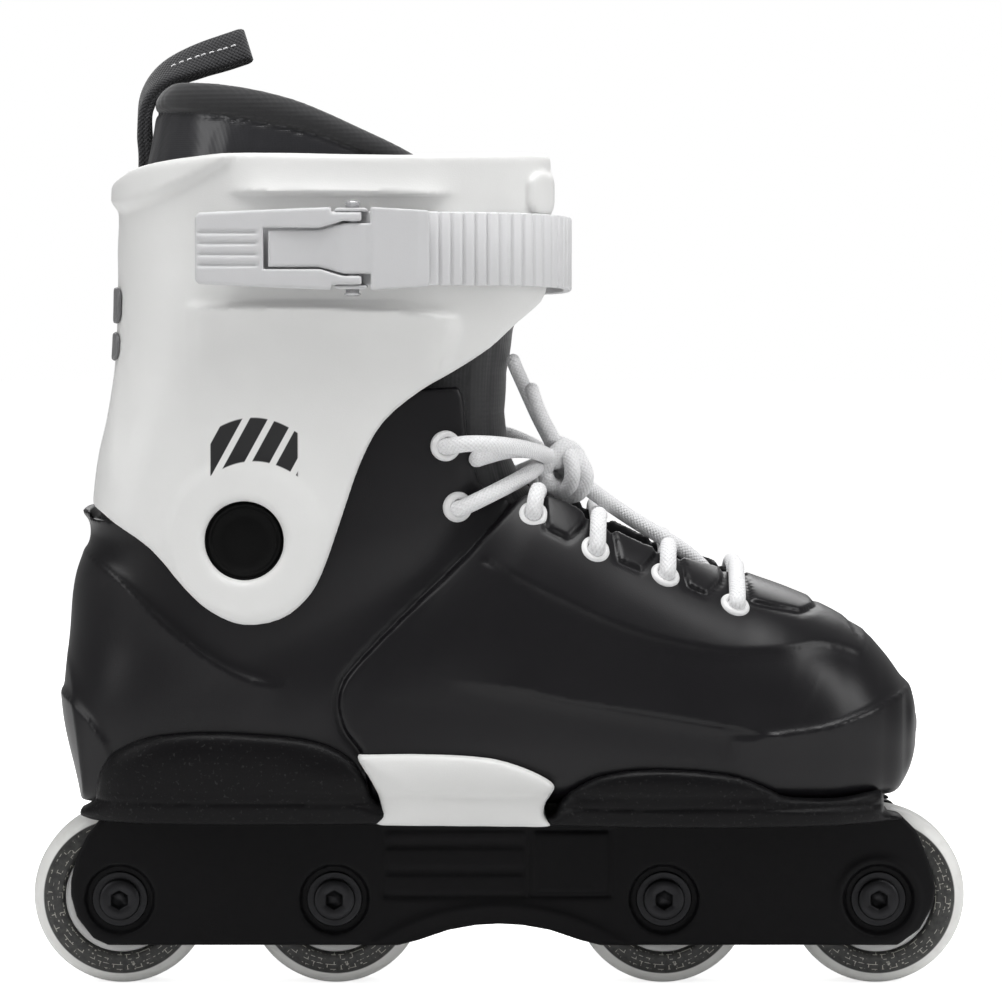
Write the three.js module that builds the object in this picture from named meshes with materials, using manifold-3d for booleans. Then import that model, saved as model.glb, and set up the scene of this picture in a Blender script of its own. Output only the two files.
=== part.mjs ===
import * as THREE from 'three';
import { mergeVertices } from 'three/addons/utils/BufferGeometryUtils.js';
import Module from 'manifold-3d';

const wasm = await Module();
wasm.setup();

// Driving dimensions, in millimetres. X runs to the toe, Z up, and the outer side of the foot is -Y.
const WHEEL_RADIUS = 30;
const WHEEL_WIDTH = 24;
const TREAD_FLAT = 14;
const AXLE_X = [-127.6, -55.4, 55.4, 127.6];
const AXLE_RADIUS = 3.8;
const BEARING = { inner: 4, outer: 11, width: 7, from: 4.2 };
const CORE_RADIUS = 19;
const FRAME_HALF = 19;
const FRAME_INNER = 13.2;
const FRAME_BOTTOM = 15;
const FRAME_TOP = 60;
const DECK = 6;
const MOUNT_X = 85.5;
const MOUNT_BOLT_RADIUS = 3;
const SHELL_BOTTOM = 63.5;
const SHELL_WALL = 3.5;
const PLATE_BOTTOM = 60.4;
const PLATE_WALL = 4.5;
const SLIDE_WALL = 6;
const PAD_HEIGHT = 3.6;
const LINER_WALL = 5.4;
const LINER_GAP = 0.6;
const THROAT_HALF = 20;
const TONGUE_HALF = 26.2;
const PIVOT = { x: -83.8, z: 152.7, hole: 13, shank: 4 };
const CUFF_WALL = 4;
const CUFF_GAP_HALF = 27;
const COLLAR_WALL = 6.6;
const LACE_RADIUS = 2.75;
const EYELETS = [[-18.3, 183.2], [-14.4, 163.2], [9.7, 160.2], [30.2, 148.3], [53.2, 137.6], [76.6, 129.2]];
const BUCKLE = { z: 248.7, pinX: -47.6, pawlX: -66.1, seat: -48.5, face: -62.2, half: 11.2 };
const PAWL_PIN = 1;
const STRAP_HEIGHT = 24;
const STRAP_THICK = 2.2;
const STRAP_SLOPE = 0.05;
const RIB_PITCH = 4;
const GAP = 0.35;
const TYRE_SIDES = 24;
const FOOT_SIDES = 20;
const LEG_SIDES = 24;
// The outer side is wider, by the buckle, so the part is moved sideways to stand centred.
const SIDE_SHIFT = 3.98;

const PLASTIC_BLACK = { color: 0x1b1b1d, roughness: 0.42, metalness: 0 };
const SHELL_BLACK = { color: 0x232326, roughness: 0.36, metalness: 0 };
const CUFF_WHITE = { color: 0xe6e6e2, roughness: 0.5, metalness: 0 };
const STEEL = { color: 0xb4b6b9, roughness: 0.3, metalness: 1 };
const BLACK_STEEL = { color: 0x202022, roughness: 0.35, metalness: 0.9 };
const TEXTILE = { color: 0x1a1a1c, roughness: 0.9, metalness: 0 };
const FOAM = { color: 0x2a2a2c, roughness: 0.95, metalness: 0 };
const CORD_WHITE = { color: 0xdedcd6, roughness: 0.85, metalness: 0 };
const URETHANE = { color: 0xe9e8e3, roughness: 0.4, metalness: 0 };
const BADGE_GREY = { color: 0x4a4b4e, roughness: 0.5, metalness: 0 };

const part = new THREE.Group();
part.name = 'inline_skate';

function outward(geometry) {
  const p = geometry.attributes.position;
  const order = geometry.index.array;
  const a = new THREE.Vector3();
  const b = new THREE.Vector3();
  const c = new THREE.Vector3();
  let volume = 0;
  for (let i = 0; i < order.length; i += 3) {
    a.fromBufferAttribute(p, order[i]);
    b.fromBufferAttribute(p, order[i + 1]);
    c.fromBufferAttribute(p, order[i + 2]);
    volume += a.dot(b.cross(c));
  }
  if (volume < 0) {
    for (let i = 0; i < order.length; i += 3) {
      const kept = order[i];
      order[i] = order[i + 1];
      order[i + 1] = kept;
    }
  }
  return geometry;
}

function solid(geometry) {
  geometry.deleteAttribute('normal');
  geometry.deleteAttribute('uv');
  const g = outward(mergeVertices(geometry, 1e-4));
  return new wasm.Manifold(new wasm.Mesh({
    numProp: 3,
    vertProperties: new Float32Array(g.attributes.position.array),
    triVerts: new Uint32Array(g.index.array),
  }));
}

function add(name, body, look) {
  const m = body.getMesh();
  const g = new THREE.BufferGeometry();
  g.setAttribute('position', new THREE.BufferAttribute(new Float32Array(m.vertProperties), 3));
  g.setIndex(new THREE.BufferAttribute(new Uint32Array(m.triVerts), 1));
  g.translate(0, SIDE_SHIFT, 0);
  g.computeVertexNormals();
  const mesh = new THREE.Mesh(g, new THREE.MeshStandardMaterial(look));
  mesh.name = name;
  part.add(mesh);
}

// A solid through rings of equally many points, closed at both ends.
function loft(rings) {
  const count = rings[0].length;
  const position = [];
  const index = [];
  rings.forEach((ring) => ring.forEach((q) => position.push(q.x, q.y, q.z)));
  for (let i = 0; i + 1 < rings.length; i += 1) {
    for (let j = 0; j < count; j += 1) {
      const k = (j + 1) % count;
      const a = i * count;
      const b = a + count;
      index.push(a + j, b + k, b + j, a + j, a + k, b + k);
    }
  }
  [0, rings.length - 1].forEach((end) => {
    const middle = new THREE.Vector3();
    rings[end].forEach((q) => middle.addScaledVector(q, 1 / count));
    const m = position.length / 3;
    position.push(middle.x, middle.y, middle.z);
    for (let j = 0; j < count; j += 1) {
      const a = end * count + j;
      const b = end * count + ((j + 1) % count);
      if (end === 0) index.push(m, b, a);
      else index.push(m, a, b);
    }
  });
  const g = new THREE.BufferGeometry();
  g.setAttribute('position', new THREE.BufferAttribute(new Float32Array(position), 3));
  g.setIndex(index);
  return solid(g);
}

function power(value, exponent) {
  return Math.sign(value) * Math.abs(value) ** (2 / exponent);
}

function box(x0, x1, y0, y1, z0, z1) {
  const g = new THREE.BoxGeometry(x1 - x0, y1 - y0, z1 - z0);
  g.translate((x0 + x1) / 2, (y0 + y1) / 2, (z0 + z1) / 2);
  return solid(g);
}

// A side outline, given as X and Z, carried from y0 to y1.
function sideways(points, y0, y1) {
  const shape = new THREE.Shape(points.map(([x, z]) => new THREE.Vector2(x, z)));
  const g = new THREE.ExtrudeGeometry(shape, { depth: y1 - y0, bevelEnabled: false });
  g.rotateX(Math.PI / 2);
  g.translate(0, y1, 0);
  return solid(g);
}

// A plan outline, given as X and Y, carried from z0 to z1.
function upward(points, z0, z1) {
  const shape = new THREE.Shape(points.map(([x, y]) => new THREE.Vector2(x, y)));
  const g = new THREE.ExtrudeGeometry(shape, { depth: z1 - z0, bevelEnabled: false });
  g.translate(0, 0, z0);
  return solid(g);
}

function disc(radius, x, z, y0, y1, sides = 32) {
  const g = new THREE.CylinderGeometry(radius, radius, y1 - y0, sides);
  g.translate(x, (y0 + y1) / 2, z);
  return solid(g);
}

function post(radius, x, y, z0, z1, sides = 24) {
  const g = new THREE.CylinderGeometry(radius, radius, z1 - z0, sides);
  g.rotateX(Math.PI / 2);
  g.translate(x, y, (z0 + z1) / 2);
  return solid(g);
}

// A closed ring profile of radius and Y, turned about a cross axle. A flat of it faces down.
function turned(profile, x, z, sides) {
  const points = profile.map(([r, y]) => new THREE.Vector2(r, y));
  points.push(points[0].clone());
  const g = new THREE.LatheGeometry(points, sides);
  g.rotateY(Math.PI / sides);
  g.translate(x, 0, z);
  return solid(g);
}

function tube(points, radius, steps) {
  const path = new THREE.CatmullRomCurve3(points, false, 'centripetal');
  const round = new THREE.Shape();
  round.absarc(0, 0, radius, 0, 2 * Math.PI, false);
  const way = { steps, extrudePath: path, curveSegments: 4, bevelEnabled: false };
  const g = new THREE.ExtrudeGeometry(round, way);
  return solid(g);
}

// The foot of the boot: X, half width, height of the bottom and of the top, roundness of the top.
const FOOT = [
  [-138, 24, SHELL_BOTTOM + 2, 105, 2.4], [-84, 38, SHELL_BOTTOM, 120, 2.6],
  [-30, 42.5, SHELL_BOTTOM, 150, 2.8], [0, 46, SHELL_BOTTOM, 164, 3],
  [20, 48, SHELL_BOTTOM, 164, 3], [40, 49.5, SHELL_BOTTOM, 155.5, 3], [60, 50, SHELL_BOTTOM, 147, 2.8],
  [80, 49, SHELL_BOTTOM, 138.6, 2.6], [98, 46.5, SHELL_BOTTOM, 131.6, 2.4], [114, 41.5, 64, 122.5, 2.3],
  [127, 33.5, 65.5, 114, 2.3], [135, 24.5, 69, 104.5, 2.3], [139.4, 12, 80, 96, 2.3],
];

function foot(grow) {
  const last = FOOT.length - 1;
  return loft(FOOT.map(([x, half, low, high, round], i) => {
    const push = i === 0 ? -grow : i === last ? grow : 0;
    const middle = low + 0.36 * (high - low);
    const ring = [];
    for (let k = 0; k < FOOT_SIDES; k += 1) {
      const a = (2 * Math.PI * (k + 0.5)) / FOOT_SIDES;
      const s = Math.sin(a);
      const e = s > 0 ? round : 5;
      const reach = s > 0 ? high - middle : middle - low;
      const across = (half + grow) * power(Math.cos(a), e);
      ring.push(new THREE.Vector3(x + push, across, middle + (reach + grow) * power(s, e)));
    }
    return ring;
  }));
}

// Upright sections: Z, X of the rear, X of the front, half width, squareness.
const ANKLE = [
  [SHELL_BOTTOM, -140, -70, 35, 2.6], [91, -147, -40, 39.5, 2.6],
  [120, -145, -15, 40.5, 2.4], [139, -142.5, -2, 41, 2.4],
  [152, -138, 4, 41, 2.7], [163, -138.5, 5, 41, 3], [178, -132, 5, 41, 3.2], [216, -128, 5, 41, 3.2],
];
const LEG = [
  [112, -134, 10, 46.5, 4.4], [165, -136, 8, 46.5, 4.4], [180, -134.2, 8, 46.5, 4], [193, -131, 9, 46.7, 3.7],
  [207, -128.5, 12, 47.2, 3.5], [226, -127.4, 18, 48.6, 3.3], [240, -127.2, 20.5, 49.6, 3.2],
  [262, -127.5, 21.5, 50, 3.1], [284, -126.5, 21.5, 50, 3.1],
];
const COLLAR = [
  [140, -131, 0, 35, 2.7], [166, -131.2, 1, 35, 2.7], [180, -129.2, 1, 35, 2.7], [193, -126, 1, 35, 2.7],
  [216, -123.1, 2, 35, 2.8], [232, -122.6, 11, 44.3, 3.2], [262, -122.8, 15.5, 45.2, 3.1],
  [276, -122, 15.5, 45.4, 3], [290, -119.5, 14, 44.5, 2.8], [306, -115.5, 11, 42.5, 2.6],
];

function upright(table, grow, ends = grow) {
  const last = table.length - 1;
  return loft(table.map(([z, rear, front, half, e], i) => {
    const push = i === 0 ? -ends : i === last ? ends : 0;
    const ring = [];
    for (let k = 0; k < LEG_SIDES; k += 1) {
      const a = (2 * Math.PI * (k + 0.5)) / LEG_SIDES;
      const x = (rear + front) / 2 + ((front - rear) / 2 + grow) * power(Math.cos(a), e);
      ring.push(new THREE.Vector3(x, (half + grow) * power(Math.sin(a), e), z + push));
    }
    return ring;
  }));
}

function boot(grow) {
  return foot(grow).add(upright(ANKLE, grow));
}

function sector(radius, sides = 40) {
  return disc(radius, PIVOT.x, PIVOT.z, -80, 80, sides);
}

function fromPivot(degrees, radius) {
  const a = (degrees * Math.PI) / 180;
  return [PIVOT.x + radius * Math.cos(a), PIVOT.z + radius * Math.sin(a)];
}

function wheelWells(clearance) {
  const half = FRAME_INNER - 0.1;
  const wells = AXLE_X.map((x) => disc(WHEEL_RADIUS + clearance, x, WHEEL_RADIUS, -half, half, 20));
  return wells.reduce((a, b) => a.add(b));
}

function throat() {
  const edge = [[-60, THROAT_HALF], [30, THROAT_HALF], [60, THROAT_HALF - 4], [76, 11], [82, 0]];
  const back = edge.slice(0, -1).reverse().map(([x, y]) => [x, -y]);
  return upward([...edge, ...back], 118, 240);
}

function bootShell() {
  let body = boot(0);
  body = body.subtract(boot(-SHELL_WALL));
  body = body.subtract(upright(ANKLE, -SHELL_WALL).intersect(box(-200, 200, -80, 80, 120, 300)));
  body = body.subtract(throat());
  body = body.subtract(sideways([
    [-160, 161.5], [-136.8, 161.5], [-135.7, 158.3], [-129, 158.3], [-113, 170], [-98, 177], [-70, 178],
    [-52, 186], [-40, 197], [-26, 201.2], [-13, 201.2], [-11.6, 198.5], [-10.4, 186], [-4, 168.5],
    [0, 164.5], [6, 170], [60, 170], [60, 260], [-160, 260],
  ], -70, 70));
  EYELETS.forEach(([x, z]) => {
    body = body.subtract(disc(2.4, x, z, -70, 70, 8));
  });
  body = body.subtract(disc(PIVOT.shank + 0.3, PIVOT.x, PIVOT.z, -70, 70, 24));
  [-MOUNT_X, MOUNT_X].forEach((x) => {
    body = body.subtract(post(6, x, 0, 50, 75, 16));
  });
  return body;
}

function heelSoulPlate() {
  let body = boot(PLATE_WALL).intersect(sideways([
    [-138.6, PLATE_BOTTOM], [-138.6, 84], [-128, 87.4], [-109.2, 89.1], [-91.8, 90.8], [-70, 90.4],
    [-55.3, 86.9], [-49.4, 81.7], [-41.6, 67.7], [-40.6, PLATE_BOTTOM],
  ], -70, 70));
  body = body.subtract(boot(GAP));
  return body.subtract(wheelWells(1.5)).subtract(post(MOUNT_BOLT_RADIUS + 0.4, -MOUNT_X, 0, 50, 80, 12));
}

function toeSoulPlate() {
  let body = boot(PLATE_WALL).intersect(sideways([
    [19.4, 71.5], [29.2, 75.8], [47.5, 79.1], [65.9, 79.5], [84.2, 76.5], [91.5, 70.9], [95.2, 69],
    [111.4, 67], [130, 68.3], [131.5, PLATE_BOTTOM], [13.2, PLATE_BOTTOM], [14.6, 66.2],
  ], -70, 70));
  body = body.subtract(boot(GAP));
  return body.subtract(wheelWells(1.5)).subtract(post(MOUNT_BOLT_RADIUS + 0.4, MOUNT_X, 0, 50, 80, 12));
}

function slidePlates() {
  const dish = [];
  for (let k = 0; k <= 14; k += 1) {
    const a = Math.PI + (Math.PI * k) / 14;
    dish.push([-12.5 + 12 * Math.cos(a), 60.3 - 12 * Math.sin(a)]);
  }
  let body = boot(SLIDE_WALL).intersect(sideways([
    [-47.4, 80.9], [-45.9, 83.1], [-19.6, 83.7], [-1.3, 80.1], [12.1, 75.2], [18.2, 71.9], [17.2, 69.4],
    [13.2, 66.4], [12.2, 62.4], [11.4, PLATE_BOTTOM], [-39.4, PLATE_BOTTOM], [-39.6, 68.3],
  ], -70, 70));
  body = body.subtract(boot(GAP));
  body = body.subtract(sideways(dish, -70, -50).add(sideways(dish, 50, 70)));
  return [
    body.intersect(box(-80, 60, -70, -22, 40, 100)),
    body.intersect(box(-80, 60, 22, 70, 40, 100)),
  ];
}

function frame() {
  const rear = [
    [-127, FRAME_TOP], [-133.5, 57.9], [-138.5, 51.8], [-143.1, 40.2], [-144.1, 32.5], [-142.1, 23.8],
    [-136.5, 17.1], [-131.6, FRAME_BOTTOM],
  ];
  const arch = [
    [-31, FRAME_BOTTOM], [-25.4, 19.8], [-17.7, 24.4], [-10.1, 26.5], [0, 27.2], [10.1, 26.5],
    [17.7, 24.4], [25.4, 19.8], [31, FRAME_BOTTOM],
  ];
  const front = [
    [134.1, FRAME_BOTTOM], [141.5, 19.8], [145.8, 27.5], [146.8, 33.8], [144.8, 42.2], [140.5, 52.8],
    [134.1, 59], [129, FRAME_TOP],
  ];
  let body = sideways([...rear, ...arch, ...front], -FRAME_HALF, FRAME_HALF);
  body = body.subtract(box(-160, 160, -FRAME_INNER, FRAME_INNER, 0, FRAME_TOP - DECK));
  body = body.subtract(wheelWells(1.5));
  AXLE_X.forEach((x) => {
    [-1, 1].forEach((side) => {
      const inner = BEARING.from + BEARING.width + GAP;
      const boss = side < 0 ? [-FRAME_INNER - 1, -inner] : [inner, FRAME_INNER + 1];
      body = body.add(disc(5.6, x, WHEEL_RADIUS, boss[0], boss[1], 12));
      const outer = side < 0 ? [-FRAME_HALF - 1, -FRAME_HALF + 1.4] : [FRAME_HALF - 1.4, FRAME_HALF + 1];
      body = body.subtract(disc(11.5, x, WHEEL_RADIUS, outer[0], outer[1], 20));
    });
    body = body.subtract(disc(7.4, x, WHEEL_RADIUS, -FRAME_HALF - 1, -FRAME_HALF + 3.2, 16));
    body = body.subtract(disc(AXLE_RADIUS + 0.3, x, WHEEL_RADIUS, -30, 30, 12));
  });
  const ribs = [[24.9, 32.6], [33.9, 42], [43.4, 47.2]];
  ribs.forEach(([low, high]) => {
    body = body.subtract(box(-37, 6, -FRAME_HALF - 1, -FRAME_HALF + 1.2, low + 3.5, high + 3.5));
    body = body.subtract(box(-37, 6, FRAME_HALF - 1.2, FRAME_HALF + 1, low + 3.5, high + 3.5));
  });
  body = body.subtract(box(12, 37, -FRAME_HALF - 1, -FRAME_HALF + 1.2, 28.5, 50.5));
  body = body.subtract(box(12, 37, FRAME_HALF - 1.2, FRAME_HALF + 1, 28.5, 50.5));
  [-MOUNT_X, MOUNT_X].forEach((x) => {
    body = body.subtract(post(MOUNT_BOLT_RADIUS + 0.4, x, 0, 40, 70, 12));
  });
  return body;
}

function archBlock() {
  const half = FRAME_INNER - GAP;
  const body = sideways([
    [-31, 12.6], [-24, 15.5], [-14, 18.2], [0, 19.4], [14, 18.2], [24, 15.5], [31, 12.6], [31, 40], [-31, 40],
  ], -half, half);
  return body.subtract(wheelWells(1.5));
}

function mountBolt(x) {
  let body = post(MOUNT_BOLT_RADIUS, x, 0, 49, 65, 12);
  body = body.add(post(5.4, x, 0, SHELL_BOTTOM - 0.05, SHELL_BOTTOM + 3.1, 16));
  return body.subtract(post(2, x, 0, SHELL_BOTTOM + 1, SHELL_BOTTOM + 4, 6));
}

function mountNut(x) {
  const body = post(5.7, x, 0, FRAME_TOP - DECK - 4.6, FRAME_TOP - DECK - 0.3, 6);
  return body.subtract(post(MOUNT_BOLT_RADIUS + 0.3, x, 0, 40, 60, 12));
}

function heelPad() {
  const floor = SHELL_BOTTOM + SHELL_WALL + GAP;
  return box(-133, -70, -27, 27, floor, floor + PAD_HEIGHT).intersect(boot(-SHELL_WALL - 1.5));
}

function throatStrip(half) {
  return box(-46, 120, -half, half, 118, 240);
}

function lining() {
  const outer = -SHELL_WALL - LINER_GAP;
  const inner = outer - LINER_WALL;
  return foot(outer).add(upright(ANKLE, outer)).subtract(foot(inner).add(upright(ANKLE, inner, -inner)));
}

function linerFoot() {
  const far = fromPivot(22, 180);
  const kept = sideways([
    [PIVOT.x, PIVOT.z], far, [200, far[1]], [200, 40], [-200, 40], [-200, 159.5], [PIVOT.x - 40, 159.5],
  ], -80, 80).add(sector(43));
  let body = lining().intersect(kept).subtract(throatStrip(TONGUE_HALF + 1));
  body = body.subtract(box(-137, -66, -30, 30, 60, SHELL_BOTTOM + SHELL_WALL + PAD_HEIGHT + 2 * GAP));
  return body.intersect(box(-200, 200, -80, 80, 40, 208));
}

function tongueLower() {
  const kept = sector(101).add(box(-60, 120, -80, 80, 100, 185));
  const strip = lining().intersect(throatStrip(TONGUE_HALF)).intersect(kept);
  return strip.intersect(box(-30, 90, -60, 60, 100, 240));
}

function collarSkin() {
  return upright(COLLAR, 0).subtract(upright(COLLAR, -COLLAR_WALL, 10));
}

function linerCuff() {
  const rise = fromPivot(35.2, 200);
  let body = collarSkin().intersect(sideways([
    [PIVOT.x, PIVOT.z], rise, [30, rise[1]], [-12, 273], [-29.4, 279.6], [-41.5, 285.7],
    [-54.5, 291.8], [-71.9, 297.8], [-89.2, 302.2], [-106.5, 303.9], [-111.8, 303], [-116.6, 297],
    [-150, 290], [-150, 167], [-127, 167],
  ], -80, 80));
  body = body.subtract(sector(43.6));
  body = body.subtract(box(-30, 60, -TONGUE_HALF - 2.5, TONGUE_HALF + 2.5, 216, 330));
  return body.subtract(box(-38, 60, -80, 80, 100, 216.01));
}

function tongueUpper() {
  const body = collarSkin().intersect(box(-30, 60, -TONGUE_HALF, TONGUE_HALF, 190, 281));
  return body.subtract(sector(101.6));
}

function pullLoop() {
  return sideways([
    [-121.2, 276], [-121.9, 286], [-121, 296.5], [-117.6, 305.4], [-111, 311], [-103, 315], [-92.5, 319],
    [-85.5, 320.4], [-82.5, 324.4], [-78.5, 320.8], [-80.5, 314], [-92, 306.4], [-98.5, 300], [-101.5, 291],
    [-104.3, 291.5], [-101, 302], [-94, 309], [-85.5, 315.8], [-102, 310], [-112, 305.2], [-116.2, 301.5],
    [-118.3, 295.6], [-119.2, 286], [-118.6, 276],
  ].map(([x, z]) => [x - (x < -110 && z < 300 ? 3.4 : 0), z]), -7, 7);
}

const CUFF_SIDE = [
  [-137.5, 168.8], [-137.5, 163.4], [-132.8, 160.4], [-126.3, 157], [-119, 151.3], [-112.1, 145.3],
  [-105.7, 137.5], [-98, 131.1], [-89.6, 126.6], [-81.9, 125.1], [-73.5, 126.6], [-65.9, 130.5],
  [-60, 137.5], [-56.8, 144.6], [-51.7, 159.4], [-46.6, 172.4], [-43.4, 186], [-38.5, 192.6], [-33.6, 196.8],
  [-20.4, 205.6], [-11.6, 212.2], [-3.8, 218], [8.5, 227.8], [18, 237], [23, 243], [23, 274], [19, 279.6],
  [-84, 279.8], [-104, 278], [-116, 272], [-124, 267], [-140, 266],
];

function cuff() {
  let body = upright(LEG, 0).subtract(upright(LEG, -CUFF_WALL, 10));
  const rim = upright(LEG, 3).subtract(upright(LEG, -1)).intersect(box(-160, -104, -60, 60, 259, 268));
  body = body.add(rim).intersect(sideways(CUFF_SIDE, -80, 80));
  body = body.subtract(box(-20, 60, -CUFF_GAP_HALF, CUFF_GAP_HALF, 100, 330));
  body = body.subtract(disc(PIVOT.hole, PIVOT.x, PIVOT.z, -80, 80, 36));
  body = body.subtract(box(-106, -18, -60, BUCKLE.seat, BUCKLE.z - 17, BUCKLE.z + 17));
  return body;
}

function pivotCap(side) {
  const seat = 41 + GAP;
  const face = 46.5;
  const ends = side < 0 ? [-face, -seat] : [seat, face];
  const shank = side < 0 ? [-seat - 1, -38] : [38, seat + 1];
  let body = disc(PIVOT.hole - 0.5, PIVOT.x, PIVOT.z, ends[0], ends[1], 32);
  body = body.add(disc(PIVOT.shank, PIVOT.x, PIVOT.z, shank[0], shank[1], 24));
  const slot = side < 0 ? [-face - 1, -face + 1.5] : [face - 1.5, face + 1];
  return body.subtract(disc(3, PIVOT.x, PIVOT.z, slot[0], slot[1], 6));
}

function tyre(x) {
  const out = WHEEL_RADIUS / Math.cos(Math.PI / TYRE_SIDES);
  const w = WHEEL_WIDTH / 2;
  const flat = TREAD_FLAT / 2;
  const inner = CORE_RADIUS + GAP;
  return turned([
    [out, -flat], [out, flat], [out - 3.2, w - 1.6], [out - 7, w], [inner + 1, w - 0.6], [inner, w - 1.6],
    [inner, -w + 1.6], [inner + 1, -w + 0.6], [out - 7, -w], [out - 3.2, -w + 1.6],
  ], x, WHEEL_RADIUS, TYRE_SIDES);
}

function core(x) {
  const seat = BEARING.outer + 0.2;
  const face = BEARING.from + BEARING.width - 0.2;
  return turned([
    [CORE_RADIUS, -face + 1], [CORE_RADIUS, face - 1], [CORE_RADIUS - 2, face], [seat, face],
    [seat, BEARING.from - 0.1], [8.5, BEARING.from - 0.1], [8.5, -BEARING.from + 0.1],
    [seat, -BEARING.from + 0.1], [seat, -face], [CORE_RADIUS - 2, -face],
  ], x, WHEEL_RADIUS, 20);
}

function bearing(x, side) {
  const near = side * BEARING.from;
  const far = side * (BEARING.from + BEARING.width);
  return turned([
    [BEARING.outer, near], [BEARING.outer, far], [BEARING.inner, far], [BEARING.inner, near],
  ], x, WHEEL_RADIUS, 20);
}

function spacer(x) {
  const end = BEARING.from - 0.1;
  return turned([[6, -end], [6, end], [BEARING.inner + 0.1, end], [BEARING.inner + 0.1, -end]], x, WHEEL_RADIUS, 12);
}

function axle(x) {
  let body = disc(AXLE_RADIUS, x, WHEEL_RADIUS, -FRAME_HALF + 2, FRAME_HALF - 2.4, 12);
  body = body.add(disc(7, x, WHEEL_RADIUS, -FRAME_HALF - 0.8, -FRAME_HALF + 2.9, 16));
  return body.subtract(disc(2.9, x, WHEEL_RADIUS, -FRAME_HALF - 2, -FRAME_HALF + 1.6, 6));
}

function between(table, value) {
  const i = Math.max(1, table.findIndex((row) => row[0] > value));
  const t = (value - table[i - 1][0]) / (table[i][0] - table[i - 1][0]);
  return table[i].map((v, k) => table[i - 1][k] + t * (v - table[i - 1][k]));
}

// The height of the foot over a point, and how far the boot stands out sideways at a point.
function instep(x, y) {
  const [, half, low, high, round] = between(FOOT, x);
  const middle = low + 0.36 * (high - low);
  return middle + (high - middle) * (1 - Math.min(1, Math.abs(y) / half) ** round) ** (1 / round);
}

function flank(x, z) {
  const [, half, low, high, round] = between(FOOT, x);
  const middle = low + 0.36 * (high - low);
  const up = Math.min(1, Math.max(0, (z - middle) / (high - middle)));
  const [, rear, front, wide, square] = between(ANKLE, z);
  const along = Math.min(1, Math.abs(x - (rear + front) / 2) / ((front - rear) / 2));
  return Math.max(half * (1 - up ** round) ** (1 / round), wide * (1 - along ** square) ** (1 / square));
}

// The lacing runs from side to side up the throat, clear of the shell and the tongue.
function lacing() {
  const lift = LACE_RADIUS + 0.9;
  const points = [];
  for (let i = EYELETS.length - 1; i >= 0; i -= 1) {
    const [x, z] = EYELETS[i];
    const first = i % 2 === 0 ? -1 : 1;
    const side = flank(x, z) + lift;
    const edge = THROAT_HALF + 4;
    const bar = [new THREE.Vector3(x, first * side, z + 1)];
    if (i > 1) {
      [first * edge, 0, -first * edge].forEach((y) => {
        bar.push(new THREE.Vector3(x + 2, y, instep(x + 2, y) + lift));
      });
    } else {
      const front = 5 + lift - 1;
      const corner = flank(x + 9, z + 3) + lift + 1;
      bar.push(new THREE.Vector3(x + 9, first * corner, z + 3));
      bar.push(new THREE.Vector3(front - 3, first * edge, z + 4.5));
      bar.push(new THREE.Vector3(front, 0, z + 5));
      bar.push(new THREE.Vector3(front - 3, -first * edge, z + 4.5));
      bar.push(new THREE.Vector3(x + 9, -first * corner, z + 3));
    }
    bar.push(new THREE.Vector3(x, -first * side, z + 1));
    points.push(...bar);
    if (i > 0) {
      const [nextX, nextZ] = EYELETS[i - 1];
      const midX = (x + nextX) / 2;
      const midZ = (z + nextZ) / 2;
      points.push(new THREE.Vector3(midX, -first * (flank(midX, midZ) + lift + 1), midZ + 1));
    }
  }
  return tube(points, LACE_RADIUS - 0.35, 92);
}

function laceBow() {
  const low = 167.4 + 2 * LACE_RADIUS;
  const spots = [
    [27, -20, low + 3.1], [24, -13, low + 11.1], [18, -6, low + 7.1], [13, 0, low],
    [18, 6, low + 7.1], [24, 13, low + 11.1], [27, 20, low + 3.1],
  ];
  return tube(spots.map(([x, y, z]) => new THREE.Vector3(x, y, z)), LACE_RADIUS, 24);
}

// The outline of the cuff at the strap, grown outward.
function bandPoint(angle, grow) {
  const [, rear, front, half, e] = LEG[6];
  const x = (rear + front) / 2 + ((front - rear) / 2 + grow + 0.7) * power(Math.cos(angle), e);
  const y = (half + grow + 0.7) * power(Math.sin(angle), e);
  return [x, y];
}

function ladderStrap() {
  const outer = [];
  const inner = [];
  const seat = BUCKLE.seat - 2.4;
  inner.push([BUCKLE.pawlX - 26, seat]);
  outer.push([BUCKLE.pawlX - 26, seat - STRAP_THICK]);
  for (let x = BUCKLE.pawlX - 26 + RIB_PITCH / 2; x < -26; x += RIB_PITCH) {
    outer.push([x, seat - STRAP_THICK], [x + 0.6, seat - STRAP_THICK + 0.6]);
    outer.push([x + RIB_PITCH / 2 - 0.4, seat - STRAP_THICK + 0.6], [x + RIB_PITCH / 2, seat - STRAP_THICK]);
  }
  inner.push([-22, seat]);
  for (let k = 0; k <= 56; k += 1) {
    const a = -1.02 + (2.2 * k) / 56;
    const rib = k < 44 && k % 2 === 0 ? 0 : 0.6;
    inner.push(bandPoint(a, 0));
    outer.push(bandPoint(a, STRAP_THICK + 1.2 - rib));
  }
  const z = BUCKLE.z - 0.1;
  const body = upward([...inner, ...outer.reverse()], z - STRAP_HEIGHT / 2, z + STRAP_HEIGHT / 2);
  const m = body.getMesh();
  const p = new Float32Array(m.vertProperties);
  for (let i = 0; i < p.length; i += 3) p[i + 2] -= STRAP_SLOPE * (p[i + 1] + 50);
  const g = new THREE.BufferGeometry();
  g.setAttribute('position', new THREE.BufferAttribute(p, 3));
  g.setIndex(new THREE.BufferAttribute(new Uint32Array(m.triVerts), 1));
  const [x, y] = bandPoint(1.1, STRAP_THICK + 1.2);
  return solid(g).subtract(disc(2.5, x, BUCKLE.z - 5.1, y - 12, y + 12, 16));
}

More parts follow.
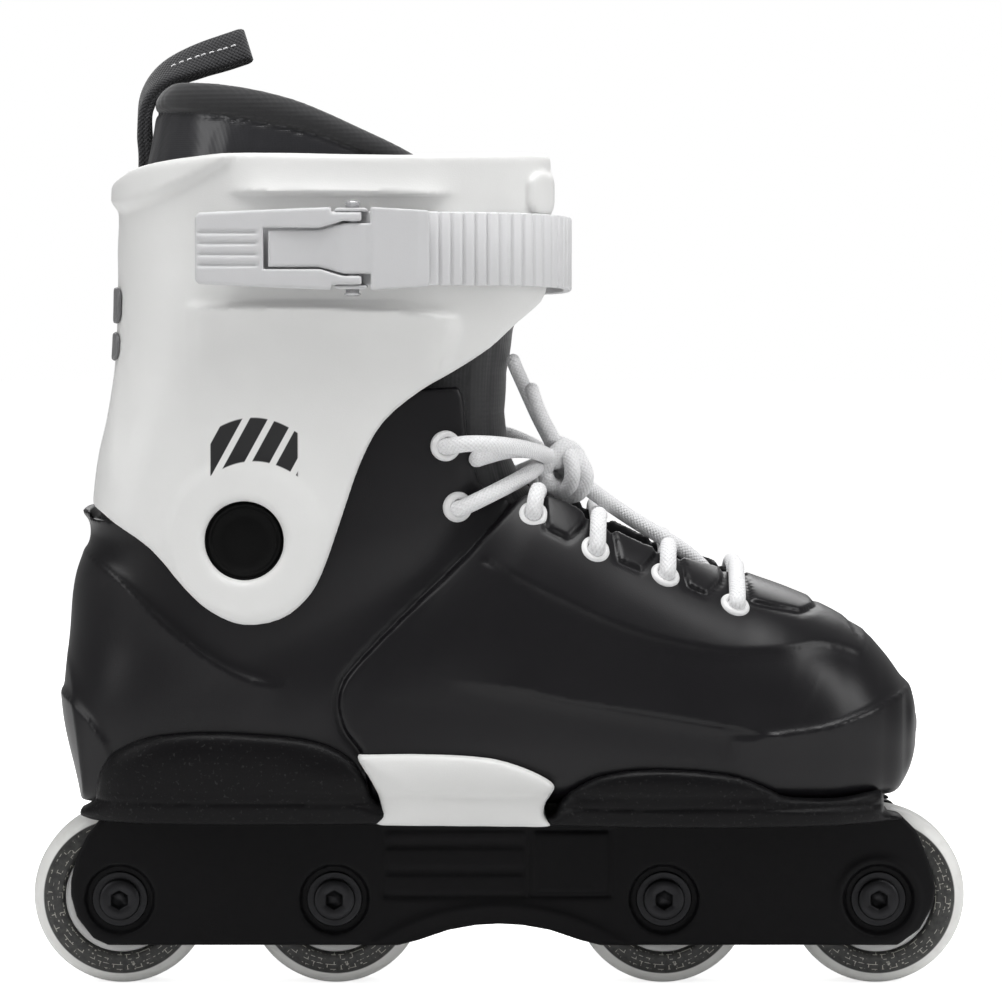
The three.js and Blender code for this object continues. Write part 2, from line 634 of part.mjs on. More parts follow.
function strapScrew() {
  const [x, y] = bandPoint(1.1, STRAP_THICK + 1.2);
  const head = disc(4.4, x, BUCKLE.z - 5.1, y + 0.5, y + 2.4, 20);
  return head.add(disc(2.1, x, BUCKLE.z - 5.1, y - 3.3, y + 1, 16));
}

function buckleBase() {
  const seat = BUCKLE.seat - GAP;
  let body = box(-84, -39, seat - 1.8, seat, BUCKLE.z - 14.6, BUCKLE.z + 14.6);
  [-1, 1].forEach((side) => {
    const z0 = BUCKLE.z + side * 14.6;
    const z1 = BUCKLE.z + side * 12.9;
    const ear = box(-52.4, -42.8, -61, seat - 1, Math.min(z0, z1), Math.max(z0, z1));
    body = body.add(ear);
  });
  return body.subtract(post(1.9, BUCKLE.pinX, -58, BUCKLE.z - 30, BUCKLE.z + 30, 16));
}

function leverPin() {
  return post(1.6, BUCKLE.pinX, -58, BUCKLE.z - 15, BUCKLE.z + 15, 16);
}

function buckleLever() {
  const z = BUCKLE.z;
  const half = BUCKLE.half;
  let body = upward([
    [-98.4, -61], [-97.4, BUCKLE.face], [BUCKLE.pinX - 2, BUCKLE.face + 0.6], [BUCKLE.pinX + 1.6, -60.6],
    [BUCKLE.pinX + 2.9, -58], [BUCKLE.pinX + 1.6, -55.4], [-60, -54.8], [-80, -54.8], [-97, -57.6],
  ], z - half, z + half);
  body = body.subtract(box(-76.4, -40, -70, -50, z - 6.7, z + 6.7));
  body = body.subtract(box(-87, -40, BUCKLE.face + 2, -50, z - 8.9, z + 8.9));
  [-95, -90, -85].forEach((x) => {
    body = body.subtract(box(x, x + 2.4, -70, BUCKLE.face + 1, z - 8, z + 8));
  });
  body = body.subtract(post(1.9, BUCKLE.pinX, -58, z - 30, z + 30, 16));
  return body.subtract(post(PAWL_PIN + 0.2, BUCKLE.pawlX, -57, z - 30, z + 30, 16));
}

function releaseLatch() {
  const z = BUCKLE.z;
  const tail = upward([
    [-74.8, BUCKLE.face], [-74.8, -60.5], [-52, -60.5], [-50.6, -57], [-49, -55.2], [-46, -55.2],
    [-44, -58], [-41.4, -58.2], [-41.4, BUCKLE.face],
  ], z - 6, z + 6);
  const head = upward([
    [-41.9, BUCKLE.face], [-41.9, -58.4], [-38, -55.6], [-28, -55.2], [-23, -58], [-24, BUCKLE.face + 1.6],
    [-30, BUCKLE.face],
  ], z - 12, z + 12);
  return tail.add(head).subtract(post(1.9, BUCKLE.pinX, -58, z - 30, z + 30, 16));
}

// The pawl is forked, so that the lever and the pawl can swing out past the tail of the latch.
function drivePawl() {
  const z = BUCKLE.z;
  const leg = [
    [-84, -59.6], [-64.5, -59.2], [-58.6, -56.4], [-57.6, -53.9], [-62, -54.9], [-68.5, -55.2],
    [-80, -57.4], [-84, -57.6],
  ];
  let body = upward(leg, z + 7, z + 8.7).add(upward(leg, z - 8.7, z - 7));
  body = body.add(box(-83.9, -78.5, -59.5, -57.7, z - 8, z + 8));
  return body.subtract(post(PAWL_PIN + 0.2, BUCKLE.pawlX, -57, z - 30, z + 30, 16));
}

function pawlPin(side) {
  const near = BUCKLE.z + side * 6.9;
  const far = BUCKLE.z + side * 11.4;
  return post(PAWL_PIN, BUCKLE.pawlX, -57, Math.min(near, far), Math.max(near, far), 16);
}

function badge(low, high, proud) {
  const skin = upright(LEG, proud).subtract(upright(LEG, GAP));
  return skin.intersect(box(-160, -110, -26, 26, low, high));
}

add('boot_shell', bootShell(), SHELL_BLACK);
add('heel_soul_plate', heelSoulPlate(), PLASTIC_BLACK);
add('toe_soul_plate', toeSoulPlate(), PLASTIC_BLACK);
const [outerSlide, innerSlide] = slidePlates();
add('outer_slide_plate', outerSlide, CUFF_WHITE);
add('inner_slide_plate', innerSlide, CUFF_WHITE);
add('frame', frame(), PLASTIC_BLACK);
add('arch_block', archBlock(), PLASTIC_BLACK);
add('rear_mount_bolt', mountBolt(-MOUNT_X), STEEL);
add('front_mount_bolt', mountBolt(MOUNT_X), STEEL);
add('rear_mount_nut', mountNut(-MOUNT_X), STEEL);
add('front_mount_nut', mountNut(MOUNT_X), STEEL);
add('heel_shock_pad', heelPad(), FOAM);
const inside = SHELL_WALL + LINER_GAP + LINER_WALL + GAP;
add('footbed', boot(-inside).intersect(box(-200, 200, -80, 80, 60, SHELL_BOTTOM + inside + 4)), FOAM);
add('liner_foot', linerFoot(), TEXTILE);
add('tongue_lower', tongueLower(), TEXTILE);
add('lacing', lacing(), CORD_WHITE);
add('lace_bow', laceBow(), CORD_WHITE);
add('outer_pivot_cap', pivotCap(-1), PLASTIC_BLACK);
add('inner_pivot_cap', pivotCap(1), PLASTIC_BLACK);
add('cuff', cuff(), CUFF_WHITE);
add('liner_cuff', linerCuff(), TEXTILE);
add('tongue_upper', tongueUpper(), TEXTILE);
add('pull_loop', pullLoop(), TEXTILE);
add('upper_back_badge', badge(223.4, 235.6, 2.2), BADGE_GREY);
add('lower_back_badge', badge(211.1, 220.6, 2.2), BADGE_GREY);
add('buckle_base', buckleBase(), CUFF_WHITE);
add('lever_pin', leverPin(), STEEL);
add('ladder_strap', ladderStrap(), CUFF_WHITE);
add('strap_screw', strapScrew(), STEEL);
add('buckle_lever', buckleLever(), CUFF_WHITE);
add('upper_pawl_pin', pawlPin(1), STEEL);
add('lower_pawl_pin', pawlPin(-1), STEEL);
add('release_latch', releaseLatch(), CUFF_WHITE);
add('drive_pawl', drivePawl(), CUFF_WHITE);
AXLE_X.forEach((x, i) => {
  const n = i + 1;
  add(`tyre_${n}`, tyre(x), URETHANE);
  add(`wheel_core_${n}`, core(x), URETHANE);
  add(`outer_bearing_${n}`, bearing(x, -1), STEEL);
  add(`inner_bearing_${n}`, bearing(x, 1), STEEL);
  add(`bearing_spacer_${n}`, spacer(x), STEEL);
  add(`axle_${n}`, axle(x), BLACK_STEEL);
});

export default part;
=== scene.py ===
import math
import bpy
import numpy as np
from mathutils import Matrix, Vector


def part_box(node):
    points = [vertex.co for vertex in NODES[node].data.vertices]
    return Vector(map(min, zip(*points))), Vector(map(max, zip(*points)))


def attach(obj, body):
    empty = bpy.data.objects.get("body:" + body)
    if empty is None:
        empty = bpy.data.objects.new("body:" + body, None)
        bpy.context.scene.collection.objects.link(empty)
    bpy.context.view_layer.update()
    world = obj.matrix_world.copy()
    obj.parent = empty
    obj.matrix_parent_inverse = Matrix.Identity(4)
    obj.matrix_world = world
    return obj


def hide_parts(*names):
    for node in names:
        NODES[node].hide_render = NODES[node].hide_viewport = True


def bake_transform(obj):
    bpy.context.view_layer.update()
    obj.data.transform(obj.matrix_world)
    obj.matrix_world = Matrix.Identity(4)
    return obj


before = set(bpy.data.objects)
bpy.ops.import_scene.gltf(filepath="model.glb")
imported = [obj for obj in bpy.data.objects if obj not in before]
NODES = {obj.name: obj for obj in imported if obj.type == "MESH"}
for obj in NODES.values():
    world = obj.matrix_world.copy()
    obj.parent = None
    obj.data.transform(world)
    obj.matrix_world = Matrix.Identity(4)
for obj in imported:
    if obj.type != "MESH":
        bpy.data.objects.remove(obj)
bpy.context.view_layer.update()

# Lengths in this script are millimetres on the object's own centre plane, like the CAD's.
MM = 0.001


def box_mm(node):
    """The lowest and highest corners of a CAD node, in millimetres from the centre plane."""
    low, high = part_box(node)
    shift = np.array([0, CENTRE, 0])
    return np.array(low) / MM - shift, np.array(high) / MM - shift


CENTRE = 0.0
CENTRE = float(sum(box_mm("tyre_1")[k][1] for k in (0, 1)) / 2)
WHEELS = [float(sum(box_mm(f"tyre_{n}")[k][0] for k in (0, 1)) / 2) for n in (1, 2, 3, 4)]
WHEEL_R = float(box_mm("tyre_1")[1][2] / 2)
PIVOT = (-83.8, 152.7)
EYELETS = [(-17.8, 183.6), (-13.9, 163.3), (11.2, 160.1), (31.4, 148.7), (54.7, 139.9), (77.9, 129.9)]
LACE_R = 2.75
SHELL_WALL = 3.5
CUFF_WALL = 4.0
BUCKLE_Z = 248.7
PRINT_INK = (0.012, 0.012, 0.013)


# ---------------------------------------------------------------- camera, light and floor

def for_camera(tree, elsewhere, seen, target):
    """Shows one shader to the camera and gives another to everything else."""
    path = tree.nodes.new("ShaderNodeLightPath")
    either = tree.nodes.new("ShaderNodeMixShader")
    tree.links.new(path.outputs["Is Camera Ray"], either.inputs[0])
    tree.links.new(elsewhere.outputs[0], either.inputs[1])
    tree.links.new(seen.outputs[0], either.inputs[2])
    tree.links.new(either.outputs[0], tree.nodes[target].inputs["Surface"])


def stage():
    """Camera at the photograph's angle, soft light and a pale floor."""
    data = bpy.data.cameras.new("camera")
    camera = bpy.data.objects.new("camera", data)
    bpy.context.scene.collection.objects.link(camera)
    data.lens, data.sensor_width, data.clip_start, data.clip_end = 159.5, 36, 0.01, 20
    camera.location = (0.6 * MM, (CENTRE - 1500) * MM, 254.6 * MM)
    target = Vector((0.6 * MM, CENTRE * MM, 163.1 * MM))
    camera.rotation_euler = (target - camera.location).to_track_quat("-Z", "Y").to_euler()
    bpy.context.scene.camera = camera

    world = bpy.data.worlds.new("studio")
    bpy.context.scene.world = world
    world.use_nodes = True
    background = world.node_tree.nodes["Background"]
    background.inputs["Color"].default_value = (1, 1, 1, 1)
    background.inputs["Strength"].default_value = 0.25
    seen = world.node_tree.nodes.new("ShaderNodeBackground")
    seen.inputs["Color"].default_value = (1, 1, 1, 1)
    seen.inputs["Strength"].default_value = 1.0
    for_camera(world.node_tree, background, seen, "World Output")

    def area(name, place, size, power):
        light = bpy.data.lights.new(name, "AREA")
        light.shape, light.size, light.size_y, light.energy = "RECTANGLE", size[0], size[1], power
        lamp = bpy.data.objects.new(name, light)
        bpy.context.scene.collection.objects.link(lamp)
        lamp.location = place
        lamp.rotation_euler = (Vector((0, 0, 0.14)) - Vector(place)).to_track_quat("-Z", "Y").to_euler()

    area("top_light", (0.05, -0.30, 1.3), (1.0, 0.6), 13)
    area("left_light", (-1.2, -0.7, 0.8), (0.35, 1.0), 4.9)
    area("right_light", (1.2, -0.5, 0.7), (0.35, 0.9), 4.9)
    area("back_light", (0, 1.2, 0.8), (1.2, 0.6), 6)

    mesh = bpy.data.meshes.new("floor")
    side = 6.0
    mesh.from_pydata([(-side, -side, 0), (side, -side, 0), (side, side, 0), (-side, side, 0)], [],
                     [(0, 1, 2, 3)])
    floor = bpy.data.objects.new("floor", mesh)
    bpy.context.scene.collection.objects.link(floor)
    paint = bpy.data.materials.new("floor_paint")
    paint.use_nodes = True
    shader = paint.node_tree.nodes["Principled BSDF"]
    shader.inputs["Base Color"].default_value = (0.9, 0.9, 0.9, 1)
    shader.inputs["Roughness"].default_value = 0.9
    glow = paint.node_tree.nodes.new("ShaderNodeEmission")
    glow.inputs["Strength"].default_value = 0.78
    both = paint.node_tree.nodes.new("ShaderNodeAddShader")
    paint.node_tree.links.new(shader.outputs[0], both.inputs[0])
    paint.node_tree.links.new(glow.outputs[0], both.inputs[1])
    for_camera(paint.node_tree, shader, both, "Material Output")
    mesh.materials.append(paint)
    bpy.context.scene.view_settings.view_transform = "Standard"


# ---------------------------------------------------------------- meshes out of distance fields

def hermite(table, value, column):
    """A smooth curve through one column of a table whose first column rises."""
    rows = np.array([[r[0], r[column]] for r in table], float)
    x, y = rows[:, 0], rows[:, 1]
    slope = np.gradient(y, x)
    v = np.clip(value, x[0], x[-1])
    i = np.clip(np.searchsorted(x, v, side="right") - 1, 0, len(x) - 2)
    w = x[i + 1] - x[i]
    t = (v - x[i]) / w
    a = (2 * t + 1) * (1 - t) ** 2 * y[i] + t * (1 - t) ** 2 * w * slope[i]
    return a + t * t * (3 - 2 * t) * y[i + 1] + t * t * (t - 1) * w * slope[i + 1]


def through(points, parts=6, closed=False):
    """Points on a smooth curve through the given ones."""
    p = np.array(points, float)
    n = len(p)
    out = []
    for i in range(n if closed else n - 1):
        if closed:
            q = [p[(i + k) % n] for k in (-1, 0, 1, 2)]
        else:
            q = [p[min(max(i + k, 0), n - 1)] for k in (-1, 0, 1, 2)]
        for k in range(parts):
            t = k / parts
            out.append(0.5 * ((2 * q[1]) + (q[2] - q[0]) * t + (2 * q[0] - 5 * q[1] + 4 * q[2] - q[3])
                              * t ** 2
                              + (3 * q[1] - q[0] - 3 * q[2] + q[3]) * t ** 3))
    if not closed:
        out.append(p[-1])
    return np.array(out)


def outline(points, u, v):
    """Signed distance to a closed outline, below zero inside it."""
    p = np.array(points, float)
    best = np.full(np.broadcast(u, v).shape, 1e9)
    inside = np.zeros(best.shape, bool)
    for a, b in zip(p, np.roll(p, -1, axis=0)):
        d = b - a
        t = np.clip(((u - a[0]) * d[0] + (v - a[1]) * d[1]) / (d @ d + 1e-12), 0, 1)
        best = np.minimum(best, (u - a[0] - t * d[0]) ** 2 + (v - a[1] - t * d[1]) ** 2)
        crosses = (a[1] > v) != (b[1] > v)
        at = a[0] + (v - a[1]) / (d[1] + 1e-12) * d[0]
        inside ^= crosses & (u < at)
    return np.where(inside, -1, 1) * np.sqrt(best)


def trace(points, u, v):
    """Distance to an open line, which side of it a point is on (left above zero), and how far along it."""
    p = np.array(points, float)
    length = np.concatenate([[0], np.cumsum(np.hypot(*np.diff(p, axis=0).T))])
    best = np.full(np.broadcast(u, v).shape, 1e9)
    side = np.ones(best.shape)
    along = np.zeros(best.shape)
    for i in range(len(p) - 1):
        a, d = p[i], p[i + 1] - p[i]
        t = np.clip(((u - a[0]) * d[0] + (v - a[1]) * d[1]) / (d @ d), 0, 1)
        far = (u - a[0] - t * d[0]) ** 2 + (v - a[1] - t * d[1]) ** 2
        near = far < best
        best = np.where(near, far, best)
        side = np.where(near, np.sign(d[0] * (v - a[1]) - d[1] * (u - a[0])), side)
        along = np.where(near, (length[i] + t * np.hypot(*d)) / length[-1], along)
    return np.sqrt(best), side, along


def circle(count):
    return np.linspace(0, 2 * math.pi, count, endpoint=False)


def ramp(value, low, high):
    t = np.clip((value - low) / (high - low), 0, 1)
    return t * t * (3 - 2 * t)


def lip(points, u, v, height, left, right, ends=0.12):
    """A moulded edge: full height on the line, dying away over `left` and `right` on its two sides."""
    d, side, along = trace(through(points, 5), u, v)
    fall = np.where(side > 0, left, right)
    fade = ramp(along, 0, ends) * ramp(1 - along, 0, ends) if ends else 1.0
    return height * fade * np.exp(-d / fall)


def groove(points, u, v, depth, width):
    d, _, _ = trace(through(points, 5), u, v)
    return -depth * np.exp(-(d / width) ** 2)


def union(a, b, k=0.0):
    if k <= 0:
        return np.minimum(a, b)
    h = np.clip(0.5 + 0.5 * (b - a) / k, 0, 1)
    return b + (a - b) * h - k * h * (1 - h)


def cross(a, b, k=0.0):
    return -union(-a, -b, k)


def cut(a, b, k=0.0):
    return cross(a, -b, k)


class Block:
    """A box of sample points, `step` millimetres apart."""

    def __init__(self, low, high, step):
        self.low, self.step = np.array(low, float), float(step)
        counts = np.ceil((np.array(high, float) - self.low) / step).astype(int) + 1
        axes = [self.low[k] + step * np.arange(counts[k]) for k in range(3)]
        self.x = axes[0][:, None, None]
        self.y = axes[1][None, :, None]
        self.z = axes[2][None, None, :]
        self.shape = tuple(counts)
        self.xz = (axes[0][:, None], axes[2][None, :])

    def side(self, field):
        """A field over X and Z, the same at every Y."""
        return field[:, None, :]

    def distance(self, field):
        """A level field turned into near distances, by its own slope."""
        f = np.ascontiguousarray(np.broadcast_to(field, self.shape), dtype=np.float32)
        gx, gy, gz = np.gradient(f, self.step)
        return f / np.maximum(np.sqrt(gx * gx + gy * gy + gz * gz), 1e-3)


def nets(field, block):
    """The surface where a field is zero, as points and four-sided faces."""
    f = np.ascontiguousarray(np.broadcast_to(field, block.shape), dtype=np.float32).copy()
    for axis in range(3):
        edge = [slice(None)] * 3
        for end in (0, -1):
            edge[axis] = end
            f[tuple(edge)] = np.maximum(f[tuple(edge)], 0.01)
    inside = f < 0
    nx, ny, nz = f.shape
    corner = np.zeros((nx - 1, ny - 1, nz - 1), np.uint8)
    for i in (0, 1):
        for j in (0, 1):
            for k in (0, 1):
                corner += inside[i:nx - 1 + i, j:ny - 1 + j, k:nz - 1 + k]
    cells = np.argwhere((corner > 0) & (corner < 8))
    number = np.full(corner.shape, -1, np.int64)
    number[tuple(cells.T)] = np.arange(len(cells))
    total = np.zeros((len(cells), 3))
    count = np.zeros(len(cells))
    for axis in range(3):
        others = [k for k in range(3) if k != axis]
        for i in (0, 1):
            for j in (0, 1):
                a = cells.copy()
                a[:, others[0]] += i
                a[:, others[1]] += j
                b = a.copy()
                b[:, axis] += 1
                fa, fb = f[tuple(a.T)], f[tuple(b.T)]
                hit = (fa < 0) != (fb < 0)
                t = np.where(hit, fa / np.where(hit, fa - fb, 1), 0)
                point = a.astype(float)
                point[:, axis] += t
                total[hit] += point[hit]
                count[hit] += 1
    points = block.low + block.step * total / count[:, None]
    faces = []
    for axis in range(3):
        b, c = [k for k in range(3) if k != axis]
        lower = [slice(1, -1)] * 3
        upper = [slice(1, -1)] * 3
        lower[axis], upper[axis] = slice(0, -1), slice(1, None)
        edges = np.argwhere(inside[tuple(lower)] != inside[tuple(upper)])
        for k in (b, c):
            edges[:, k] += 1
        starts = inside[tuple(edges.T)]
        quad = []
        for i, j in ((0, 0), (1, 0), (1, 1), (0, 1)):
            at = edges.copy()
            at[:, b] -= i
            at[:, c] -= j
            quad.append(number[tuple(at.T)])
        quad = np.stack(quad, axis=1)
        flip = starts if axis != 1 else ~starts
        quad[~flip] = quad[~flip][:, ::-1]
        faces.append(quad)
    return points, np.concatenate(faces)


def piece(name, points, faces, paint, smooth=0, body="boot", slot=None, stands_for=(), bevel=0):
    """A mesh object from points in millimetres from the centre plane, riding on a body."""
    p = np.array(points, float)
    p[:, 1] += CENTRE
    mesh = bpy.data.meshes.new(name)
    mesh.vertices.add(len(p))
    mesh.vertices.foreach_set("co", (p * MM).astype(np.float32).ravel())
    faces = [list(map(int, f)) for f in faces] if not isinstance(faces, np.ndarray) else faces
    if isinstance(faces, np.ndarray):
        sides = faces.shape[1]
        mesh.loops.add(faces.size)
        mesh.loops.foreach_set("vertex_index", faces.astype(np.int32).ravel())
        mesh.polygons.add(len(faces))
        mesh.polygons.foreach_set("loop_start", np.arange(0, faces.size, sides, dtype=np.int32))
    else:
        loops = [v for f in faces for v in f]
        mesh.loops.add(len(loops))
        mesh.loops.foreach_set("vertex_index", loops)
        mesh.polygons.add(len(faces))
        starts = np.concatenate([[0], np.cumsum([len(f) for f in faces])[:-1]])
        mesh.polygons.foreach_set("loop_start", starts.astype(np.int32))
    mesh.update(calc_edges=True)
    mesh.validate()
    mesh.shade_smooth()
    shape = bpy.data.objects.new(name, mesh)
    bpy.context.scene.collection.objects.link(shape)
    mesh.materials.append(paint)
    if smooth:
        modifier = shape.modifiers.new("smooth", "SMOOTH")
        modifier.factor, modifier.iterations = 0.5, smooth
    if bevel:
        modifier = shape.modifiers.new("bevel", "BEVEL")
        modifier.width, modifier.segments, modifier.limit_method = bevel * MM, 3, "ANGLE"
        modifier.angle_limit = math.radians(35)
        modifier.harden_normals = True
    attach(shape, body)
    if stands_for:
        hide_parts(*stands_for)
    return shape


def cast(name, field, block, paint, smooth=1, *place, **options):
    """A piece whose surface lies where a field is zero."""
    return piece(name, *nets(field, block), PAINT[paint], smooth, *place, **options)


# ---------------------------------------------------------------- materials

def tree_of(name):
    paint = bpy.data.materials.new(name)
    paint.use_nodes = True
    return paint, paint.node_tree, paint.node_tree.nodes["Principled BSDF"]


def add(tree, kind, **values):
    node = tree.nodes.new(kind)
    for key, value in values.items():
        if key in node.inputs:
            node.inputs[key].default_value = value
        else:
            setattr(node, key, value)
    return node


def noise(tree, scale, detail=4.0, roughness=0.5, stretch=(1, 1, 1)):
    place = add(tree, "ShaderNodeTexCoord")
    turn = add(tree, "ShaderNodeMapping", Scale=stretch)
    tree.links.new(place.outputs["Object"], turn.inputs["Vector"])
    n = add(tree, "ShaderNodeTexNoise", Scale=scale, Detail=detail, Roughness=roughness)
    tree.links.new(turn.outputs["Vector"], n.inputs["Vector"])
    return n.outputs["Fac"]


def spread(tree, value, low, high, start=0.3, end=0.7):
    r = add(tree, "ShaderNodeMapRange")
    r.inputs["From Min"].default_value, r.inputs["From Max"].default_value = start, end
    r.inputs["To Min"].default_value, r.inputs["To Max"].default_value = low, high
    tree.links.new(value, r.inputs["Value"])
    return r.outputs["Result"]


def math_node(tree, operation, a, b=None, c=None):
    n = add(tree, "ShaderNodeMath", operation=operation)
    for k, v in enumerate((a, b, c)):
        if v is None:
            continue
        if isinstance(v, (int, float)):
            n.inputs[k].default_value = v
        else:
            tree.links.new(v, n.inputs[k])
    return n.outputs[0]


def mixed(tree, factor, a, b):
    m = add(tree, "ShaderNodeMix", data_type="RGBA")
    if isinstance(factor, (int, float)):
        m.inputs["Factor"].default_value = factor
    else:
        tree.links.new(factor, m.inputs["Factor"])
    for key, v in ((6, a), (7, b)):
        if isinstance(v, tuple):
            m.inputs[key].default_value = (*v, 1)
        else:
            tree.links.new(v, m.inputs[key])
    return m.outputs[2]


def bumped(tree, shader, height, distance, strength=1.0, before=None):
    b = add(tree, "ShaderNodeBump", Distance=distance, Strength=strength)
    tree.links.new(height, b.inputs["Height"])
    if before is not None:
        tree.links.new(before, b.inputs["Normal"])
    tree.links.new(b.outputs["Normal"], shader.inputs["Normal"])
    return b.outputs["Normal"]


def position(tree):
    place = add(tree, "ShaderNodeTexCoord")
    split = add(tree, "ShaderNodeSeparateXYZ")
    tree.links.new(place.outputs["Object"], split.inputs["Vector"])
    return split.outputs


def plastic(name, colour, roughness, grain=0.00004, fine=2600, swing=0.05, scuffs=0.06, dust=0.0):
    """Moulded plastic: fine grain, slow gloss changes and faint long scuffs."""
    paint, tree, shader = tree_of(name)
    slow = noise(tree, 22, 3)
    shade = spread(tree, slow, 0, 1)
    dark = tuple(c * 0.93 for c in colour)
    tone = mixed(tree, shade, dark, colour)
    if dust:
        specks = spread(tree, noise(tree, 900, 2), 0, dust, 0.62, 0.75)
        tone = mixed(tree, specks, tone, (0.35, 0.35, 0.34))
    tree.links.new(tone, shader.inputs["Base Color"])
    scratch = spread(tree, noise(tree, 60, 5, 0.6, (1, 1, 14)), 0, scuffs, 0.6, 0.72)
    tree.links.new(math_node(tree, "ADD", spread(tree, slow, roughness - swing, roughness + swing), scratch),
                   shader.inputs["Roughness"])
    bumped(tree, shader, noise(tree, fine, 2), grain)
    shader.inputs["IOR"].default_value = 1.5
    gloss = 0.12 if max(colour) < 0.007 else 0.3 if max(colour) < 0.1 else 0.5
    shader.inputs["Specular IOR Level"].default_value = gloss
    return paint


def between(tree, value, low, high, soft):
    """1 where the value lies between two limits, with soft edges."""
    up = spread(tree, value, 0, 1, low - soft, low + soft)
    down = spread(tree, value, 1, 0, high - soft, high + soft)
    return math_node(tree, "MULTIPLY", up, down)


def cuff_paint():
    """White moulded nylon with a plain printed mark of slanted bars above the pivot."""
    paint = plastic("cuff_white", (0.80, 0.80, 0.79), 0.42, 0.00003, 2400, 0.04, 0.05)
    tree = paint.node_tree
    shader = tree.nodes["Principled BSDF"]
    tone = shader.inputs["Base Color"].links[0].from_socket
    x, y, z = position(tree)
    across = math_node(tree, "ADD", x, 0.0805)
    height = math_node(tree, "SUBTRACT", z, 0.1835)
    lean = math_node(tree, "ADD", across, math_node(tree, "MULTIPLY", height, -0.55))
    stripes = math_node(tree, "PINGPONG", math_node(tree, "ADD", lean, 0.1), 0.0042)
    bars = spread(tree, stripes, 0, 1, 0.0011, 0.0013)
    arc = math_node(tree, "ADD", math_node(tree, "MULTIPLY", math_node(tree, "POWER", across, 2.0), 24.0),
                    height)
    band = between(tree, arc, -0.0045, 0.0098, 0.0002)
    wide = between(tree, across, -0.0142, 0.0145, 0.0002)
    outer = spread(tree, y, 1, 0, -0.030, -0.029)
    mark = math_node(tree, "MULTIPLY", math_node(tree, "MULTIPLY", bars, band),
                     math_node(tree, "MULTIPLY", wide, outer))
    tree.links.new(mixed(tree, mark, tone, PRINT_INK), shader.inputs["Base Color"])
    shader.inputs["Subsurface Weight"].default_value = 0.06
    shader.inputs["Subsurface Radius"].default_value = (0.004, 0.004, 0.004)
    return paint


def tyre_paint():
    """Cast urethane, with a dark printed ring of dots and dashes on each side."""
    paint, tree, shader = tree_of("urethane")
    x, y, z = position(tree)
    radius = math_node(tree, "SQRT", math_node(tree, "ADD", math_node(tree, "POWER", x, 2.0),
                                                math_node(tree, "POWER", z, 2.0)))
    angle = math_node(tree, "ARCTAN2", z, x)
    face = spread(tree, math_node(tree, "ABSOLUTE", y), 0, 1, 0.0088, 0.0092)
    ring = math_node(tree, "MULTIPLY", between(tree, radius, 0.012, 0.0262, 0.0002), face)
    white = mixed(tree, spread(tree, noise(tree, 35, 3), 0, 1), (0.74, 0.74, 0.72), (0.80, 0.80, 0.78))
    wear = spread(tree, noise(tree, 240, 4), 0, 0.35, 0.55, 0.75)
    ink = mixed(tree, spread(tree, noise(tree, 500, 3), 0, 1, 0.35, 0.65), (0.02, 0.02, 0.02),
                (0.045, 0.045, 0.042))
    polar = add(tree, "ShaderNodeCombineXYZ")
    tree.links.new(math_node(tree, "MULTIPLY", angle, 7.0), polar.inputs[0])
    tree.links.new(math_node(tree, "MULTIPLY", radius, 420.0), polar.inputs[1])
    cells = add(tree, "ShaderNodeTexVoronoi", Scale=1.1, feature="F1")
    tree.links.new(polar.outputs[0], cells.inputs["Vector"])
    dots = spread(tree, cells.outputs["Distance"], 1, 0, 0.10, 0.15)
    bricks = add(tree, "ShaderNodeTexBrick", Scale=0.36)
    bricks.inputs["Color1"].default_value = (0, 0, 0, 1)
    bricks.inputs["Color2"].default_value = (0, 0, 0, 1)
    bricks.inputs["Mortar"].default_value = (1, 1, 1, 1)
    bricks.inputs["Mortar Size"].default_value = 0.018
    tree.links.new(polar.outputs[0], bricks.inputs["Vector"])
    gate = spread(tree, noise(tree, 520, 1), 0, 1, 0.53, 0.56)
    lines = math_node(tree, "MULTIPLY", bricks.outputs["Color"], gate)
    marks = math_node(tree, "MULTIPLY", math_node(tree, "MAXIMUM", dots, lines),
                      between(tree, radius, 0.0168, 0.0252, 0.0002))
    inked = mixed(tree, math_node(tree, "MULTIPLY", marks, 0.7), ink, (0.5, 0.49, 0.43))
    tone = mixed(tree, ring, mixed(tree, wear, white, (0.6, 0.59, 0.56)), inked)
    tree.links.new(tone, shader.inputs["Base Color"])
    tree.links.new(spread(tree, noise(tree, 60, 4), 0.3, 0.42), shader.inputs["Roughness"])
    bumped(tree, shader, noise(tree, 1500, 3), 0.00003)
    shader.inputs["Subsurface Weight"].default_value = 0.12
    shader.inputs["Subsurface Radius"].default_value = (0.004, 0.004, 0.0035)
    return paint


def grainy(name, colour, roughness, grain, fine):
    """Wear plate: coarse sparked texture with small bright specks."""
    paint = plastic(name, colour, roughness, 0.00003, 3000, 0.05, 0.05, 0.05)
    tree = paint.node_tree
    shader = tree.nodes["Principled BSDF"]
    bumped(tree, shader, noise(tree, fine, 4, 0.7), grain)
    return paint


def metal(name, colour, roughness):
    paint, tree, shader = tree_of(name)
    tone = mixed(tree, spread(tree, noise(tree, 90, 4), 0, 1), tuple(c * 0.8 for c in colour), colour)
    tree.links.new(tone, shader.inputs["Base Color"])
    shader.inputs["Metallic"].default_value = 1.0
    tree.links.new(spread(tree, noise(tree, 300, 3, 0.5, (1, 1, 8)), roughness - 0.07, roughness + 0.12),
                   shader.inputs["Roughness"])
    bumped(tree, shader, noise(tree, 1400, 2), 0.00002)
    return paint


